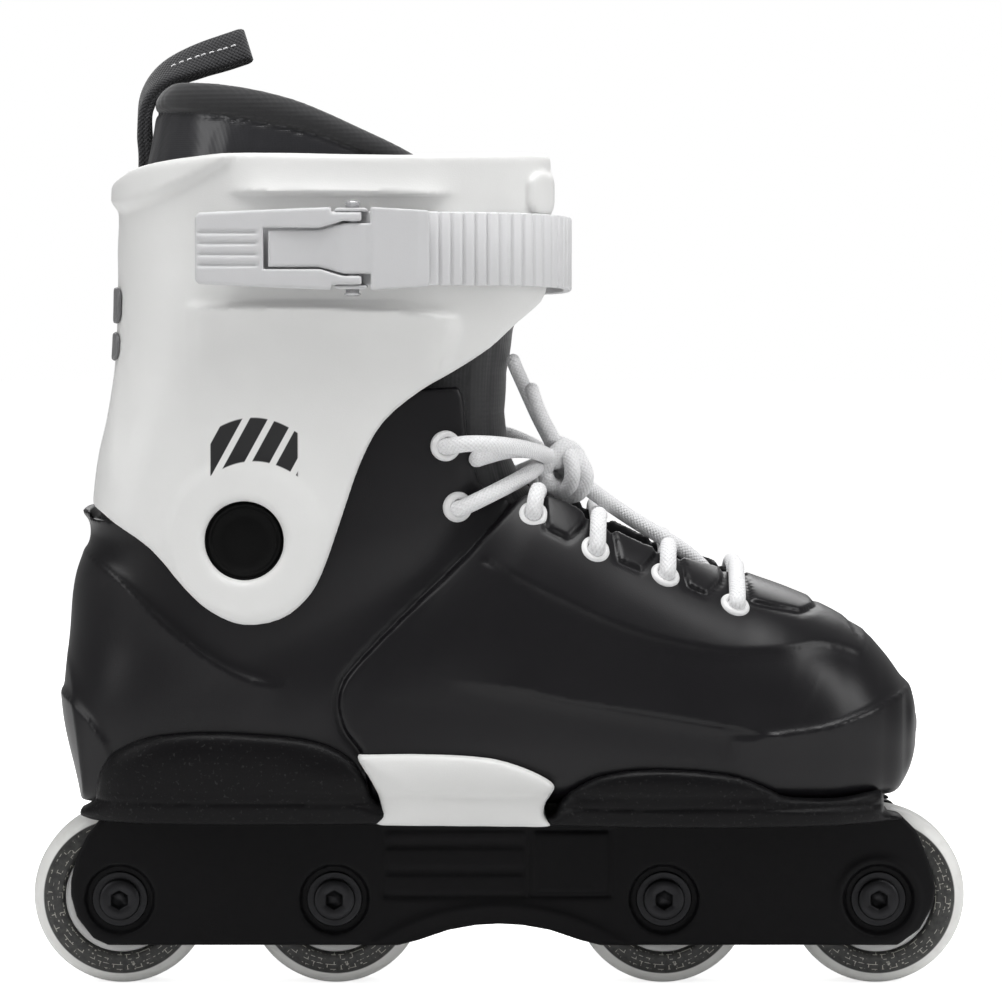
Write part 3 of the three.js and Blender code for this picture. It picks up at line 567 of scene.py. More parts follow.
def cloth(name, colour, roughness, weave=1400, depth=0.00012, folds=0.0, sheen=0.3):
    """Knitted lining: two crossed rows of stitches, slow shade changes and soft folds."""
    paint, tree, shader = tree_of(name)
    x, y, z = position(tree)
    shade = spread(tree, noise(tree, 30, 4), 0, 1)
    fuzz = spread(tree, noise(tree, 2600, 3), 0, 1)
    dark = tuple(c * 0.6 for c in colour)
    light = tuple(min(1, c * 1.5 + 0.004) for c in colour)
    tone = mixed(tree, math_node(tree, "MULTIPLY", fuzz, 0.5), mixed(tree, shade, dark, colour), light)
    tree.links.new(tone, shader.inputs["Base Color"])
    shader.inputs["Roughness"].default_value = roughness
    around = math_node(tree, "ADD", x, y)
    rows = math_node(tree, "SINE", math_node(tree, "MULTIPLY", z, weave * 6.28))
    posts = math_node(tree, "SINE", math_node(tree, "MULTIPLY", around, weave * 4.4))
    height = math_node(tree, "ADD", math_node(tree, "MULTIPLY", rows, 0.5),
                       math_node(tree, "MULTIPLY", posts, 0.5))
    if folds:
        first = add(tree, "ShaderNodeBump", Distance=folds, Strength=1.0)
        tree.links.new(noise(tree, 34, 2, 0.4, (1.6, 1.6, 0.5)), first.inputs["Height"])
        bumped(tree, shader, height, depth, 0.6, first.outputs["Normal"])
    else:
        bumped(tree, shader, height, depth)
    shader.inputs["Sheen Weight"].default_value = sheen
    shader.inputs["Sheen Roughness"].default_value = 0.5
    return paint


def braided(name, colour, along, around, depth, dark=0.5, sheen=0.3):
    """Cord or webbing: crossed yarns laid out over the piece's own length and girth, in millimetres, with
    painted shade in the grooves between the yarns.
    """
    paint, tree, shader = tree_of(name)
    place = add(tree, "ShaderNodeTexCoord")
    split = add(tree, "ShaderNodeSeparateXYZ")
    tree.links.new(place.outputs["UV"], split.inputs["Vector"])
    u = math_node(tree, "MULTIPLY", split.outputs[0], 6.2832 / along)
    v = math_node(tree, "MULTIPLY", split.outputs[1], 6.2832 / around)
    one = math_node(tree, "SINE", math_node(tree, "ADD", u, v))
    two = math_node(tree, "SINE", math_node(tree, "SUBTRACT", u, v))
    height = math_node(tree, "MULTIPLY", math_node(tree, "ADD", math_node(tree, "ABSOLUTE", one),
                                                   math_node(tree, "ABSOLUTE", two)), 0.5)
    # Painted shade: the colour falls towards `dark` in the grooves between the yarns, where shade would be.
    shade = spread(tree, height, dark, 1, 0.1, 0.7)
    fuzz = spread(tree, noise(tree, 1800, 3), 0.85, 1.0)
    tone = mixed(tree, math_node(tree, "MULTIPLY", shade, fuzz), (0, 0, 0), colour)
    tree.links.new(tone, shader.inputs["Base Color"])
    shader.inputs["Roughness"].default_value = 0.82
    bumped(tree, shader, height, depth)
    shader.inputs["Sheen Weight"].default_value = sheen
    return paint


PAINT = {
    "shell": plastic("shell_black", (0.0074, 0.0069, 0.0082), 0.32, 0.00003, 2600, 0.04, 0.05),
    "frame": plastic("frame_black", (0.0048, 0.0046, 0.0052), 0.5, 0.00005, 1800, 0.05, 0.08),
    "soul": grainy("soul_black", (0.0052, 0.005, 0.0056), 0.36, 0.0001, 1700),
    "slide": plastic("slide_white", (0.74, 0.74, 0.73), 0.46, 0.00005, 1700, 0.05, 0.06),
    "cuff": cuff_paint(),
    "buckle": plastic("buckle_white", (0.62, 0.62, 0.63), 0.40, 0.00003, 2200, 0.04, 0.05),
    "strap": plastic("strap_white", (0.72, 0.72, 0.73), 0.45, 0.00003, 1900, 0.04, 0.05),
    "badge": plastic("badge_grey", (0.16, 0.16, 0.165), 0.45, 0.00004, 1500),
    "cap": plastic("cap_black", (0.003, 0.003, 0.003), 0.6, 0.00005, 1500),
    "eyelet": plastic("eyelet_white", (0.82, 0.82, 0.82), 0.34, 0.00002, 1500),
    "tyre": tyre_paint(),
    "core": plastic("core_white", (0.70, 0.70, 0.69), 0.4, 0.00003, 1500),
    "steel": metal("steel", (0.55, 0.55, 0.56), 0.3),
    "bolt": metal("bolt_black", (0.035, 0.035, 0.037), 0.42),
    "liner": cloth("liner_knit", (0.013, 0.013, 0.0145), 0.78, 700, 0.0001, 0.0006),
    "satin": cloth("liner_satin", (0.016, 0.016, 0.019), 0.33, 1500, 0.00002, 0.0026, 0.1),
    "tongue": cloth("tongue_cloth", (0.012, 0.012, 0.0135), 0.6, 600, 0.00008, 0.001),
    "foam": cloth("foam", (0.05, 0.05, 0.055), 0.9, 300, 0.0001),
    "webbing": braided("webbing_black", (0.022, 0.022, 0.025), 3.0, 3.2, 0.0004, 0.35),
    "lace": braided("lace_white", (0.93, 0.93, 0.94), 2.6, 2.9, 0.0002, 0.86, 0.2),
}


# ---------------------------------------------------------------- the boot's own surface

FOOT = [
    [-138, 24, 65.5, 105, 2.4], [-84, 38, 63.5, 120, 2.5], [-30, 42.5, 63.5, 152, 2.4],
    [0, 46, 63.5, 178, 2.2], [20, 48, 63.5, 174, 2.2], [40, 49.5, 63.5, 160.5, 2.2],
    [60, 50, 63.5, 149, 2.2], [80, 49, 63.5, 138.8, 2.3], [98, 46.5, 63.5, 132, 2.4],
    [114, 41.5, 64, 124.6, 2.3], [127, 33.5, 65.5, 115.6, 2.3], [135, 24.5, 69, 105.3, 2.3],
    [139.6, 13, 79, 97, 2.2], [141.4, 2, 86, 90, 2.1],
]
ANKLE = [
    [63.5, -140, -70, 35, 2.6], [91, -147, -40, 39.5, 2.6], [120, -145, -15, 40.5, 2.4],
    [139, -142.5, -2, 41, 2.4], [152, -138, 4, 41, 2.7], [163, -138.5, 5, 41, 3],
    [178, -132, 5, 41, 3.2], [216, -128, 5, 41, 3.2],
]
LEG = [
    [112, -134, 10, 46.5, 4.4], [165, -136, 8, 46.5, 4.4], [180, -134.2, 8, 46.5, 4],
    [193, -131, 9, 46.7, 3.7], [207, -128.5, 12, 47.2, 3.5], [226, -127.4, 18, 48.6, 3.3],
    [240, -127.2, 20.5, 49.6, 3.2], [262, -127.5, 21.5, 50, 3.1], [284, -126.5, 21.5, 50, 3.1],
]
COLLAR = [
    [120, -128, -4, 34, 2.7], [140, -131, 0, 35, 2.7], [166, -131.2, 1, 35, 2.7], [180, -129.2, 1, 35, 2.7],
    [193, -126, 1, 35, 2.7], [216, -123.1, 2, 37, 2.8], [232, -122.6, 11, 44.3, 3.0],
    [262, -121.8, 15.5, 45.2, 3.0], [276, -118.2, 15.5, 45.4, 2.8], [290, -115.6, 14, 44.4, 2.6],
    [310, -114.5, 11, 43, 2.5],
]
SHELL_TOP = [
    (-160, 161.5), (-136.8, 161.5), (-135.7, 158.3), (-129, 158.3), (-113, 170), (-98, 177), (-70, 178),
    (-52, 186), (-40, 197), (-26, 202.6), (-13.5, 203), (-11.8, 200), (-10.6, 186), (-7, 172),
    (-3, 166.5), (6, 182), (60, 190), (60, 260), (-160, 260),
]
CUFF_SIDE = [
    (-137.5, 168.8), (-137.5, 163.8), (-132.2, 161.5), (-127.4, 158.2), (-114.8, 149.8), (-103.2, 136.6),
    (-95, 129.4), (-84.2, 124.9), (-72, 126.8), (-63.4, 133.4), (-58.1, 142.3), (-52.2, 159), (-45.5, 178.4),
    (-38, 191.8), (-25.9, 202), (-14.4, 208.6), (-3, 216), (5.2, 223.5), (15.2, 232), (22, 240), (24, 258),
    (23, 274), (19, 279.4), (-32.8, 279.2), (-82.5, 279.9), (-99.1, 278.7), (-112.4, 276.8), (-120.7, 274.6),
    (-126.3, 271.6), (-133, 268.6), (-140, 266), (-141, 230), (-141, 190),
]


def ring_level(table, z, x, y):
    """Rings stacked up Z: each row gives height, rear, front, half width and squareness."""
    rear, front, half, e = (hermite(table, z, k) for k in (1, 2, 3, 4))
    u = np.abs(x - (rear + front) / 2) + 1e-6
    v = np.abs(y) + 1e-6
    rho = ((u / ((front - rear) / 2)) ** e + (v / half) ** e) ** (1 / e)
    return (1 - 1 / rho) * np.sqrt(u * u + v * v)


def foot_level(x, y, z):
    half, low, high, e = (hermite(FOOT, x, k) for k in (1, 2, 3, 4))
    middle = low + 0.36 * (high - low)
    up = z > middle
    reach = np.where(up, high - middle, middle - low)
    e = np.where(up, e, 5)
    v = np.abs(y) + 1e-6
    w = np.abs(z - middle) + 1e-6
    rho = ((v / half) ** e + (w / reach) ** e) ** (1 / e)
    level = (1 - 1 / rho) * np.sqrt(v * v + w * w)
    return np.maximum(level, np.maximum(x - 141.2, -137.5 - x))


def boot_level(x, y, z):
    return union(foot_level(x, y, z), ring_level(ANKLE, z, x, y), 10)


def flank(x, z, level=boot_level):
    """How far out the surface is at a place in side view."""
    low, high = 2.0, 60.0
    for _ in range(40):
        mid = (low + high) / 2
        low, high = (mid, high) if level(np.float64(x), np.float64(mid), np.float64(z)) < 0 else (low, mid)
    return (low + high) / 2


def slope(x, y, z, level=boot_level):
    """The outward direction of the surface at a point."""
    g = []
    for k in range(3):
        step = [0.0] * 3
        step[k] = 0.2
        g.append(level(x + step[0], y + step[1], z + step[2]) - level(x - step[0], y - step[1], z - step[2]))
    g = np.array(g, float)
    return g / np.linalg.norm(g)


def throat_half(x):
    return np.interp(x, [-60, 30, 48, 66, 78, 84, 84.5], [29, 28, 25.5, 19, 10, 2, -5])


def shell_relief(u, v):
    """How far the shell's own lines stand out, in side view."""
    r = np.zeros(np.broadcast(u, v).shape)
    # The forefoot half laps over the ankle half along a line down to the sole.
    lap = [(9, 169), (1.1, 160.5), (-12, 146.2), (-26.1, 132.6), (-42.6, 116.2), (-50.9, 106.4),
           (-53, 98.5), (-50.9, 89.8), (-45.1, 81.6), (-43, 72), (-43, 60)]
    d, side, _ = trace(through(lap, 5), u, v)
    s = np.where(side > 0, d, -d)
    r += 1.9 * ramp(s, -0.3, 0.9) * np.exp(-np.maximum(s, 0) / 40)
    r += -0.9 * np.exp(-((s + 0.7) / 0.8) ** 2)
    # Long creases over the side of the forefoot, and the toe bumper.
    side_line = [(-4.6, 146), (8.5, 138.8), (21.7, 132.4), (36.5, 125.6), (52.9, 120.2), (74.4, 116.1),
                 (94.4, 116.3), (104.8, 117.6), (113.6, 116.3), (120.6, 113.8), (124, 117), (126, 124)]
    r += lip(side_line, u, v, 1.5, 16, 1.2, 0.08)
    r += groove(side_line, u, v, 0.6, 0.9)
    r += lip([(-19.5, 106.7), (6.9, 103.7), (21.7, 100.6), (52.8, 95.8), (85.8, 89.8), (95.7, 85.6),
              (105, 81.1)],
             u, v, 2.3, 15, 1.5, 0.25)
    r += lip([(74, 88.2), (83, 87.6), (92.4, 89.2), (107.5, 91), (119.5, 94.5), (130.4, 98.6), (142, 102.5)],
             u, v, 2.2, 1.5, 13, 0.1) * ramp(-u, -150, -134)
    # Heel counter, heel bumper and the lip under the cuff.
    r += lip([(-146, 150), (-137, 146), (-125.9, 138.7), (-112.2, 125.9), (-95.5, 113), (-82.3, 106.4),
              (-69, 103.4)],
             u, v, 1.7, 1.4, 13, 0.14)
    r += lip([(-150, 100.5), (-143, 97.5), (-137, 92), (-131, 84)], u, v, 1.2, 0.9, 8, 0)
    r += 1.7 * np.exp(-((v - 160.2) / 2.1) ** 2) * ramp(-u, 128, 134)
    # Blocks along the edge of the throat, between the eyelets.
    for block in ([(14.2, 176), (16.2, 156.4), (22.8, 153.0), (27.6, 157), (31.5, 172)],
                  [(36.8, 162), (39.7, 145.6), (46.9, 142.6), (51.5, 147), (54.5, 160)],
                  [(59.6, 152), (62.6, 137.2), (68.8, 134.4), (73.8, 138), (76, 150)],
                  [(82.4, 145), (84.1, 131.6), (100.6, 127.9), (106, 129), (104, 140)]):
        o = outline(block, u, v)
        r += 0.8 * ramp(-o, -0.9, 0.9) - 0.7 * np.exp(-((o - 0.6) / 0.9) ** 2)
    return r


def build_shell():
    b = Block((-152, -56, 61), (146, 56, 206), 0.85)
    level = b.distance(boot_level(b.x, b.y, b.z))
    outer = level - b.side(shell_relief(*b.xz))
    outer = np.maximum(outer, 63.6 - b.z)
    walls = np.maximum(outer, -(level + SHELL_WALL))
    walls = cut(walls, b.side(outline(SHELL_TOP, *b.xz)), 1.0)
    half = throat_half(b.x)
    open_top = np.maximum(np.maximum(np.abs(b.y) - half, 118 - b.z), -100 - b.x)
    walls = cut(walls, open_top, 1.4)
    hole = np.sqrt((b.x - PIVOT[0]) ** 2 + (b.z - PIVOT[1]) ** 2) - 4.4
    walls = np.maximum(walls, -hole)
    cast("shell", walls, b, "shell", 2, slot="black_shell", stands_for=["boot_shell"])


def tube_well(b):
    """The hollows over the wheels."""
    wells = np.full(b.shape, 1e9, np.float32)
    for x in WHEELS:
        round_hole = np.sqrt((b.x - x) ** 2 + (b.z - WHEEL_R) ** 2) - (WHEEL_R + 1.6)
        wells = np.minimum(wells, np.maximum(round_hole, np.abs(b.y) - 13.4))
    return wells


def build_plates():
    b = Block((-146, -62, 58), (140, 62, 94), 0.95)
    level = b.distance(boot_level(b.x, b.y, b.z))
    inner = level - 0.6 - b.side(np.maximum(shell_relief(*b.xz), 0))
    upright = b.distance(boot_level(b.x, b.y, np.maximum(b.z, 69)))
    wells = tube_well(b)

    def plate(name, shape, thick, edge, seam, paint, slot, stands_for, dish=None):
        o = outline(through(shape, 4, True), *b.xz)
        dome = thick * (edge + (1 - edge) * np.sqrt(np.clip(1 - (1 - np.clip(-o / 13, 0, 1)) ** 2, 0, 1)))
        if seam:
            dome = dome - 0.9 * np.exp(-((b.xz[1] - seam) / 0.55) ** 2)
            dome = np.where(b.xz[1] < seam, np.minimum(dome, thick * 0.93), dome)
        f = cross(upright - b.side(dome), b.side(o), 1.6)
        f = np.maximum(f, np.where(np.abs(b.y) < 23, 60.5, 58.4) - b.z)
        f = np.maximum(f, -inner)
        f = np.maximum(f, -wells)
        if dish is not None:
            f = cut(f, dish, 0.8)
        points, faces = nets(f, b)
        if dish is None:
            piece(name, points, faces, PAINT[paint], 1, slot=slot, stands_for=stands_for)
            return
        for sign, part, node in ((-1, "outer", "outer_slide_plate"), (1, "inner", "inner_slide_plate")):
            keep = np.all(points[faces][:, :, 1] * sign > 20, axis=1)
            used = np.unique(faces[keep])
            number = np.full(len(points), -1)
            number[used] = np.arange(len(used))
            piece(f"{part}_{name}", points[used], number[faces[keep]], PAINT[paint], 1, slot=slot,
                  stands_for=[node])

    plate("heel_plate", [(-133.6, 58), (-134.3, 66), (-134, 70.5), (-132.4, 75.8), (-128.1, 81.8),
                         (-116.5, 87), (-98.4, 89), (-78.7, 88.4), (-62.2, 86.4), (-52.3, 82.6),
                         (-45.8, 76.6), (-41.8, 67.3),
                         (-39.6, 58)], 6.8, 0.36, 65.4, "soul", "black_plastic", ["heel_soul_plate"])
    plate("toe_plate", [(17.6, 58), (18.4, 62), (21, 67.7), (26, 71.9), (33.2, 75.5), (46.3, 77.8),
                        (62.7, 77.6), (79.2, 75.4), (89, 71.2), (95.6, 68.4), (112.1, 67.4), (124, 69.2),
                        (127.4, 68.6), (128, 62),
                        (127, 58)], 6.8, 0.36, 64.8, "soul", "black_plastic", ["toe_soul_plate"])
    round_dish = np.sqrt((b.x + 12.5) ** 2 + (b.z - 60.3) ** 2) - 12
    dish = np.maximum(round_dish, 50 - np.abs(b.y))
    plate("slide_plate", [(-46.8, 81.1), (-43.7, 82.2), (-32, 82.4), (-19.4, 82.3), (-3, 81.2), (9, 77.8),
                          (17.6, 73), (17.6, 69.8), (15.2, 66), (14.6, 62), (14.2, 56), (-37.6, 56),
                          (-38.4, 62), (-39.8, 67.9),
                          (-43, 74.5)], 7.2, 0.62, None, "slide", "white_plate", (), dish)


def build_frame():
    b = Block((-147, -21, 13), (150, 21, 61.6), 0.8)
    side_view = [(-127, 60), (-133.5, 57.9), (-138.5, 51.8), (-142.3, 44), (-144.1, 36), (-144.1, 31),
                 (-142.1, 23.8), (-136.5, 16.6), (-131.6, 14.4), (-34, 14.4), (-27, 16.2), (-17, 19.6),
                 (-8, 21.2), (0, 21.7), (8, 21.2), (17, 19.6), (27, 16.2), (34, 14.4), (134.1, 14.4),
                 (141.5, 19.8), (145.8, 27.5), (146.8, 33.8), (144.8, 42.2), (140.5, 52.8), (134.1, 59.2),
                 (130, 60)]
    u, v = b.xz
    o = outline(side_view, u, v)
    dent = np.zeros(o.shape)
    for low, high in ((49.4, 53.9), (40.2, 48.1), (31.3, 39.0)):
        panel = outline([(-38.6, low), (9, low), (9, high), (-38.6, high)], u, v)
        dent = np.maximum(dent, 1.1 * np.exp(-(panel / 0.7) ** 2) + 0.3 * ramp(-panel, 0, 0.8))
    square = outline([(11, 31.4), (37.4, 31.4), (37.4, 53.6), (11, 53.6)], u, v)
    dent = np.maximum(dent, 1.2 * np.exp(-(square / 0.7) ** 2))
    for x in WHEELS:
        r = np.sqrt((u - x) ** 2 + (v - WHEEL_R) ** 2)
        dent = np.maximum(dent, 2.2 * ramp(11.6 - r, -0.4, 0.5))
        dent = dent - 0.9 * np.exp(-((r - 13.4) / 1.4) ** 2)
    arch_line = lip([(-46, 13), (-36, 19), (-24, 24.4), (-10, 27.6), (0, 28.2), (10, 27.6), (24, 24.4),
                     (36, 19), (46, 13)], u, v, 1.0, 0.8, 7, 0)
    body = cross(b.side(o), np.abs(b.y) - 19 + b.side(dent - arch_line), 1.6)
    slot = np.maximum(np.maximum(np.abs(b.y) - 13.2, b.z - 54), np.where(b.z < 48, 24 - np.abs(b.x), -9))
    body = np.maximum(body, -slot)
    for x in WHEELS:
        hole = np.sqrt((b.x - x) ** 2 + (b.z - WHEEL_R) ** 2)
        body = np.maximum(body, 4.2 - hole)
        body = np.maximum(body, -np.maximum(hole - (WHEEL_R + 1.3), np.abs(b.y) - 13.2))
    cast("frame_rail", body, b, "frame", 1, slot="black_plastic", stands_for=["frame", "arch_block"])


def cuff_level(x, y, z):
    return ring_level(LEG, z, x, y)


def cuff_relief(u, v):
    r = np.zeros(np.broadcast(u, v).shape)
    # A ridge above the buckle, and a ledge with a crease below it.
    r += lip([(-90, 267), (-64.9, 267.4), (-45.3, 266.8), (-12, 266.2)], u, v, 2.6, 4.5, 0.8, 0.16)
    r += lip([(-104, 229.4), (-81.4, 229.9), (-55.2, 229.3), (-32.4, 228.3), (-11.8, 226)], u, v, 3.8, 0.9,
             14, 0.07)
    r += lip([(-11.8, 226), (-15.4, 217.1), (-19.4, 209.6), (-22.6, 202.4)], u, v, 1.4, 1.0, 10, 0.25)
    bump = np.sqrt((u - 14.3) ** 2 + (v - np.clip(v, 263.8, 269.4)) ** 2) - 4.4
    r += 2.2 * ramp(-bump, -0.8, 1.0)
    # The rolled rim at the back, and a soft swelling that runs down from it.
    rim = outline([(-150, 262), (-124, 261.5), (-112, 265), (-100, 270.5), (-88, 276), (-84, 284),
                   (-150, 284)], u, v)
    r += 2.6 * ramp(-rim, -1.6, 3.0)
    # Round the pivot.
    ring = np.sqrt((u - PIVOT[0]) ** 2 + (v - PIVOT[1]) ** 2)
    r += 0.9 * ramp(28.5 - ring, 0, 5) * ramp(ring, 12, 15) - 0.5 * ramp(14.2 - ring, -0.6, 0.8)
    r += 0.7 * np.exp(-((u + 128.5) / 3.0) ** 2) * ramp(v, 166, 176) * ramp(-v, -258, -246)
    return r


def build_cuff():
    b = Block((-140, -56, 121), (29, 56, 286), 0.95)
    level = b.distance(cuff_level(b.x, b.y, b.z))
    outer = level - b.side(cuff_relief(*b.xz))
    seat = np.maximum(np.maximum(-108 - b.x, b.x + 16), np.abs(b.z - BUCKLE_Z) - 17.2)
    outer = cut(outer, np.maximum(seat, b.y + 48.4), 0.8)
    f = cross(outer, b.side(outline(through(CUFF_SIDE, 3, True), *b.xz)), 2.0)
    f = cross(f, -(level + CUFF_WALL), 1.4)
    gap = np.maximum(np.abs(b.y) - 27, -20 - b.x)
    f = cut(f, gap, 1.8)
    hole = np.sqrt((b.x - PIVOT[0]) ** 2 + (b.z - PIVOT[1]) ** 2) - 13
    f = cut(f, hole, 1.4)
    cast("cuff_shell", f, b, "cuff", 2, "cuff_body", "white_cuff", ["cuff"])
    badges = Block((-136, -30, 207), (-115, 30, 240), 0.6)
    level = badges.distance(cuff_level(badges.x, badges.y, badges.z))
    for name, low, high, half in (("upper", 223.4, 235.6, 25), ("lower", 211.1, 220.6, 25)):
        middle = (low + high) / 2
        bar = np.sqrt(np.maximum(np.abs(badges.y) - half + 4, 0) ** 2 + np.maximum(np.abs(badges.z - middle)
                      - (high - low) / 2 + 4, 0) ** 2) - 4
        f = cross(np.maximum(level - 2.1, 0.3 - level), bar, 1.2)
        f = np.maximum(f, badges.x + 118)
        cast(f"{name}_badge", f, badges, "badge", 1, "cuff_body", "badge_grey", [f"{name}_back_badge"])


# ---------------------------------------------------------------- swept and turned pieces

def frames_along(points, up=None):
    """Tangent, side and normal at each point of a path."""
    p = np.array(points, float)
    t = np.gradient(p, axis=0)
    t /= np.linalg.norm(t, axis=1)[:, None]
    n = np.zeros_like(p)
    first = np.array(up if up is not None else (0, 1, 0), float)
    last = first - t[0] * (first @ t[0])
    for i in range(len(p)):
        n[i] = last - t[i] * (last @ t[i])
        n[i] /= np.linalg.norm(n[i])
        last = n[i]
    return p, t, n, np.cross(t, n)


def lengths(points):
    """How far along a path each of its points lies."""
    return np.concatenate([[0], np.cumsum(np.linalg.norm(np.diff(points, axis=0), axis=1))])


def even(points, step):
    """The same path with evenly spaced points."""
    p = np.array(points, float)
    s = lengths(p)
    count = max(2, int(round(s[-1] / step)) + 1)
    at = np.linspace(0, s[-1], count)
    return np.stack([np.interp(at, s, p[:, k]) for k in range(3)], axis=1), at


def skin(name, rings, paint, caps=True, **options):
    """A closed skin over rings of points, with its own length and girth kept as UV in millimetres."""
    rings = np.array(rings, float)
    n, m, _ = rings.shape
    points = rings.reshape(-1, 3)
    i = np.arange(n - 1)[:, None] * m
    j = np.arange(m)[None, :]
    k = (j + 1) % m
    quads = np.stack([i + j, i + k, i + m + k, i + m + j], axis=2).reshape(-1, 4)
    faces = [list(q) for q in quads]
    if caps:
        faces.append(list(range(m))[::-1])
        faces.append([(n - 1) * m + q for q in range(m)])
    shape = piece(name, points, faces, paint, **options)
    middle = rings[n // 2]
    along = lengths(rings.mean(1))
    around = lengths(np.vstack([middle, middle[:1]]))
    layer = shape.data.uv_layers.new(name="UVMap")
    uv = np.zeros((len(shape.data.loops), 2), np.float32)
    for q, poly in enumerate(shape.data.polygons):
        if q >= len(quads):
            break
        a, c = divmod(int(quads[q][0]), m)
        values = [(along[a], around[c]), (along[a], around[c + 1]), (along[a + 1], around[c + 1]),
                  (along[a + 1], around[c])]
        order = {int(v): values[w] for w, v in enumerate(quads[q])}
        for loop in poly.loop_indices:
            uv[loop] = order[shape.data.loops[loop].vertex_index]
    layer.data.foreach_set("uv", uv.ravel())
    return shape


def rope(points, radius, step=0.8, sides=14):
    """Rings round a path, with rounded ends."""
    path, at = even(points, step)
    p, t, n, s = frames_along(path)
    a = circle(sides)
    size = np.ones(len(p))
    for from_end in (at, at[-1] - at):
        size *= np.sqrt(np.clip(1 - (1 - np.clip((from_end + 0.15) / radius, 0, 1)) ** 2, 0, 1))
    return (p[:, None, :] + radius * size[:, None, None] * (np.cos(a)[None, :, None] * n[:, None, :]
            + np.sin(a)[None, :, None] * s[:, None, :])), p


def turned(name, profile, centre, axis, paint, sides=64, parts=1, **options):
    """A piece turned about a line: the profile gives radius and place along the axis."""
    p = through(profile, parts) if parts > 1 else np.array(profile, float)
    axis = np.array(axis, float) / np.linalg.norm(axis)
    other = np.cross(axis, (1, 0, 0) if abs(axis[0]) < 0.8 else (0, 0, 1))
    other /= np.linalg.norm(other)
    third = np.cross(axis, other)
    a = circle(sides)
    rings = (np.array(centre, float)[None, None, :] + p[:, 1][:, None, None] * axis
             + p[:, 0][:, None, None] * (np.cos(a)[None, :, None] * other + np.sin(a)[None, :, None] * third))
    return skin(name, rings, paint, **options)


def build_wheels():
    tread = [(19.1, -11.4), (20.5, -11.9), (23, -12.0), (25.2, -11.7), (27, -11.0), (28.4, -9.9),
             (29.4, -8.3), (29.9, -6.6), (30, -4), (30, 0)]
    tread = [(r * WHEEL_R / 30, y) for r, y in tread]
    tread += [(r, -y) for r, y in tread[-2::-1]]
    for n, x in enumerate(WHEELS, 1):
        body = f"wheel_{n}"
        profile = through(tread, 4)
        a = circle(96)
        profile = np.vstack([profile, [(19.1, 11.4), (19.1, -11.4)]])
        rings = np.stack([np.stack([profile[:, 0] * math.cos(q), profile[:, 1], profile[:, 0] * math.sin(q)],
                                   axis=1)
                          for q in a])
        count, m, _ = rings.shape
        i = np.arange(count)[:, None] * m
        k = (np.arange(count)[:, None] + 1) % count * m
        j = np.arange(m - 1)[None, :]
        quads = np.stack([i + j, i + j + 1, k + j + 1, k + j], axis=2).reshape(-1, 4)
        points = rings.reshape(-1, 3)
        points[:, 1] -= CENTRE
        mesh_piece = piece(f"wheel_tyre_{n}", points, quads, PAINT["tyre"])
        mesh_piece.parent = None
        mesh_piece.location = (x * MM, CENTRE * MM, WHEEL_R * MM)
        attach(mesh_piece, body)
        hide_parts(f"tyre_{n}")
        turned(f"wheel_hub_{n}", [(18.9, -10.6), (18.9, 10.6), (16.6, 10.9), (15.4, 9.6), (13.2, 9.2),
                                  (11.3, 10.2), (11.1, 4.2), (11.1, -4.2), (11.3, -10.2), (13.2, -9.2),
                                  (15.4, -9.6), (16.6, -10.9),
                                  (18.9, -10.6)], (x, 0, WHEEL_R), (0, 1, 0), PAINT["core"],
               body=body, slot="wheel_core", stands_for=[f"wheel_core_{n}"], caps=False)
        for sign in (-1, 1):
            side = "outer" if sign < 0 else "inner"
            turned(f"{side}_washer_{n}", [(4.6, sign * 16.3), (4.6, sign * 17.6), (9.0, sign * 17.6),
                                          (9.4, sign * 17.2),
                                          (9.4, sign * 16.3)], (x, 0, WHEEL_R), (0, 1, 0), PAINT["bolt"],
                   slot="black_bolt", bevel=0.2)
        bolt_head(n, x)


def bolt_head(n, x):
    """Both heads of an axle, each with a six-sided socket."""
    a = circle(60)
    hexagon = 2.6 / np.maximum.reduce([np.abs(np.cos(a - k * math.pi / 3)) for k in range(3)])
    for sign, name in ((-1, "outer"), (1, "inner")):
        rings = []
        for radius, y in ((6.9, 16.6), (7.0, 18.6), (6.9, 19.4), (6.4, 19.9), (5.2, 20.2)):
            rings.append(np.stack([x + radius * np.cos(a), np.full(60, sign * y),
                                   WHEEL_R + radius * np.sin(a)], axis=1))
        for grow, y in ((0.5, 20.2), (0.15, 19.9), (0, 17.2)):
            rings.append(np.stack([x + (hexagon + grow) * np.cos(a), np.full(60, sign * y),
                                   WHEEL_R + (hexagon + grow) * np.sin(a)], axis=1))
        stands = [f"axle_{n}"] if sign < 0 else []
        skin(f"{name}_axle_head_{n}", rings, PAINT["bolt"], slot="black_bolt", stands_for=stands)


def build_caps():
    for sign, name in ((-1, "outer"), (1, "inner")):
        turned(f"{name}_cap", [(3.6, 37.5), (12.2, 38.2), (12.6, 39), (12.5, 42.4), (12.0, 43.0),
                               (11.3, 42.9), (10.9, 42.2), (10.6, 41.2), (7, 41.35), (3.4, 41.45),
                               (0.4, 41.5)],
               (PIVOT[0], 0, PIVOT[1]), (0, sign, 0), PAINT["cap"], slot="black_plastic",
               stands_for=[f"{name}_pivot_cap"])


def build_eyelets():
    for n, (x, z) in enumerate(EYELETS):
        for sign in (-1, 1):
            y = flank(x, z)
            normal = slope(x, y, z)
            centre = np.array([x, y, z]) + normal * 0.9
            centre[1] *= sign
            normal[1] *= sign
            turned(f"eyelet_{n}_{'outer' if sign < 0 else 'inner'}",
                   [(2.75, -3), (2.8, 0.4), (3.0, 1.0), (3.5, 1.3), (4.3, 1.1), (4.9, 0.5), (5.1, -0.3),
                    (5.0, -1.6)],
                   centre, normal, PAINT["eyelet"], sides=40, parts=3, slot="white_plate", caps=False)


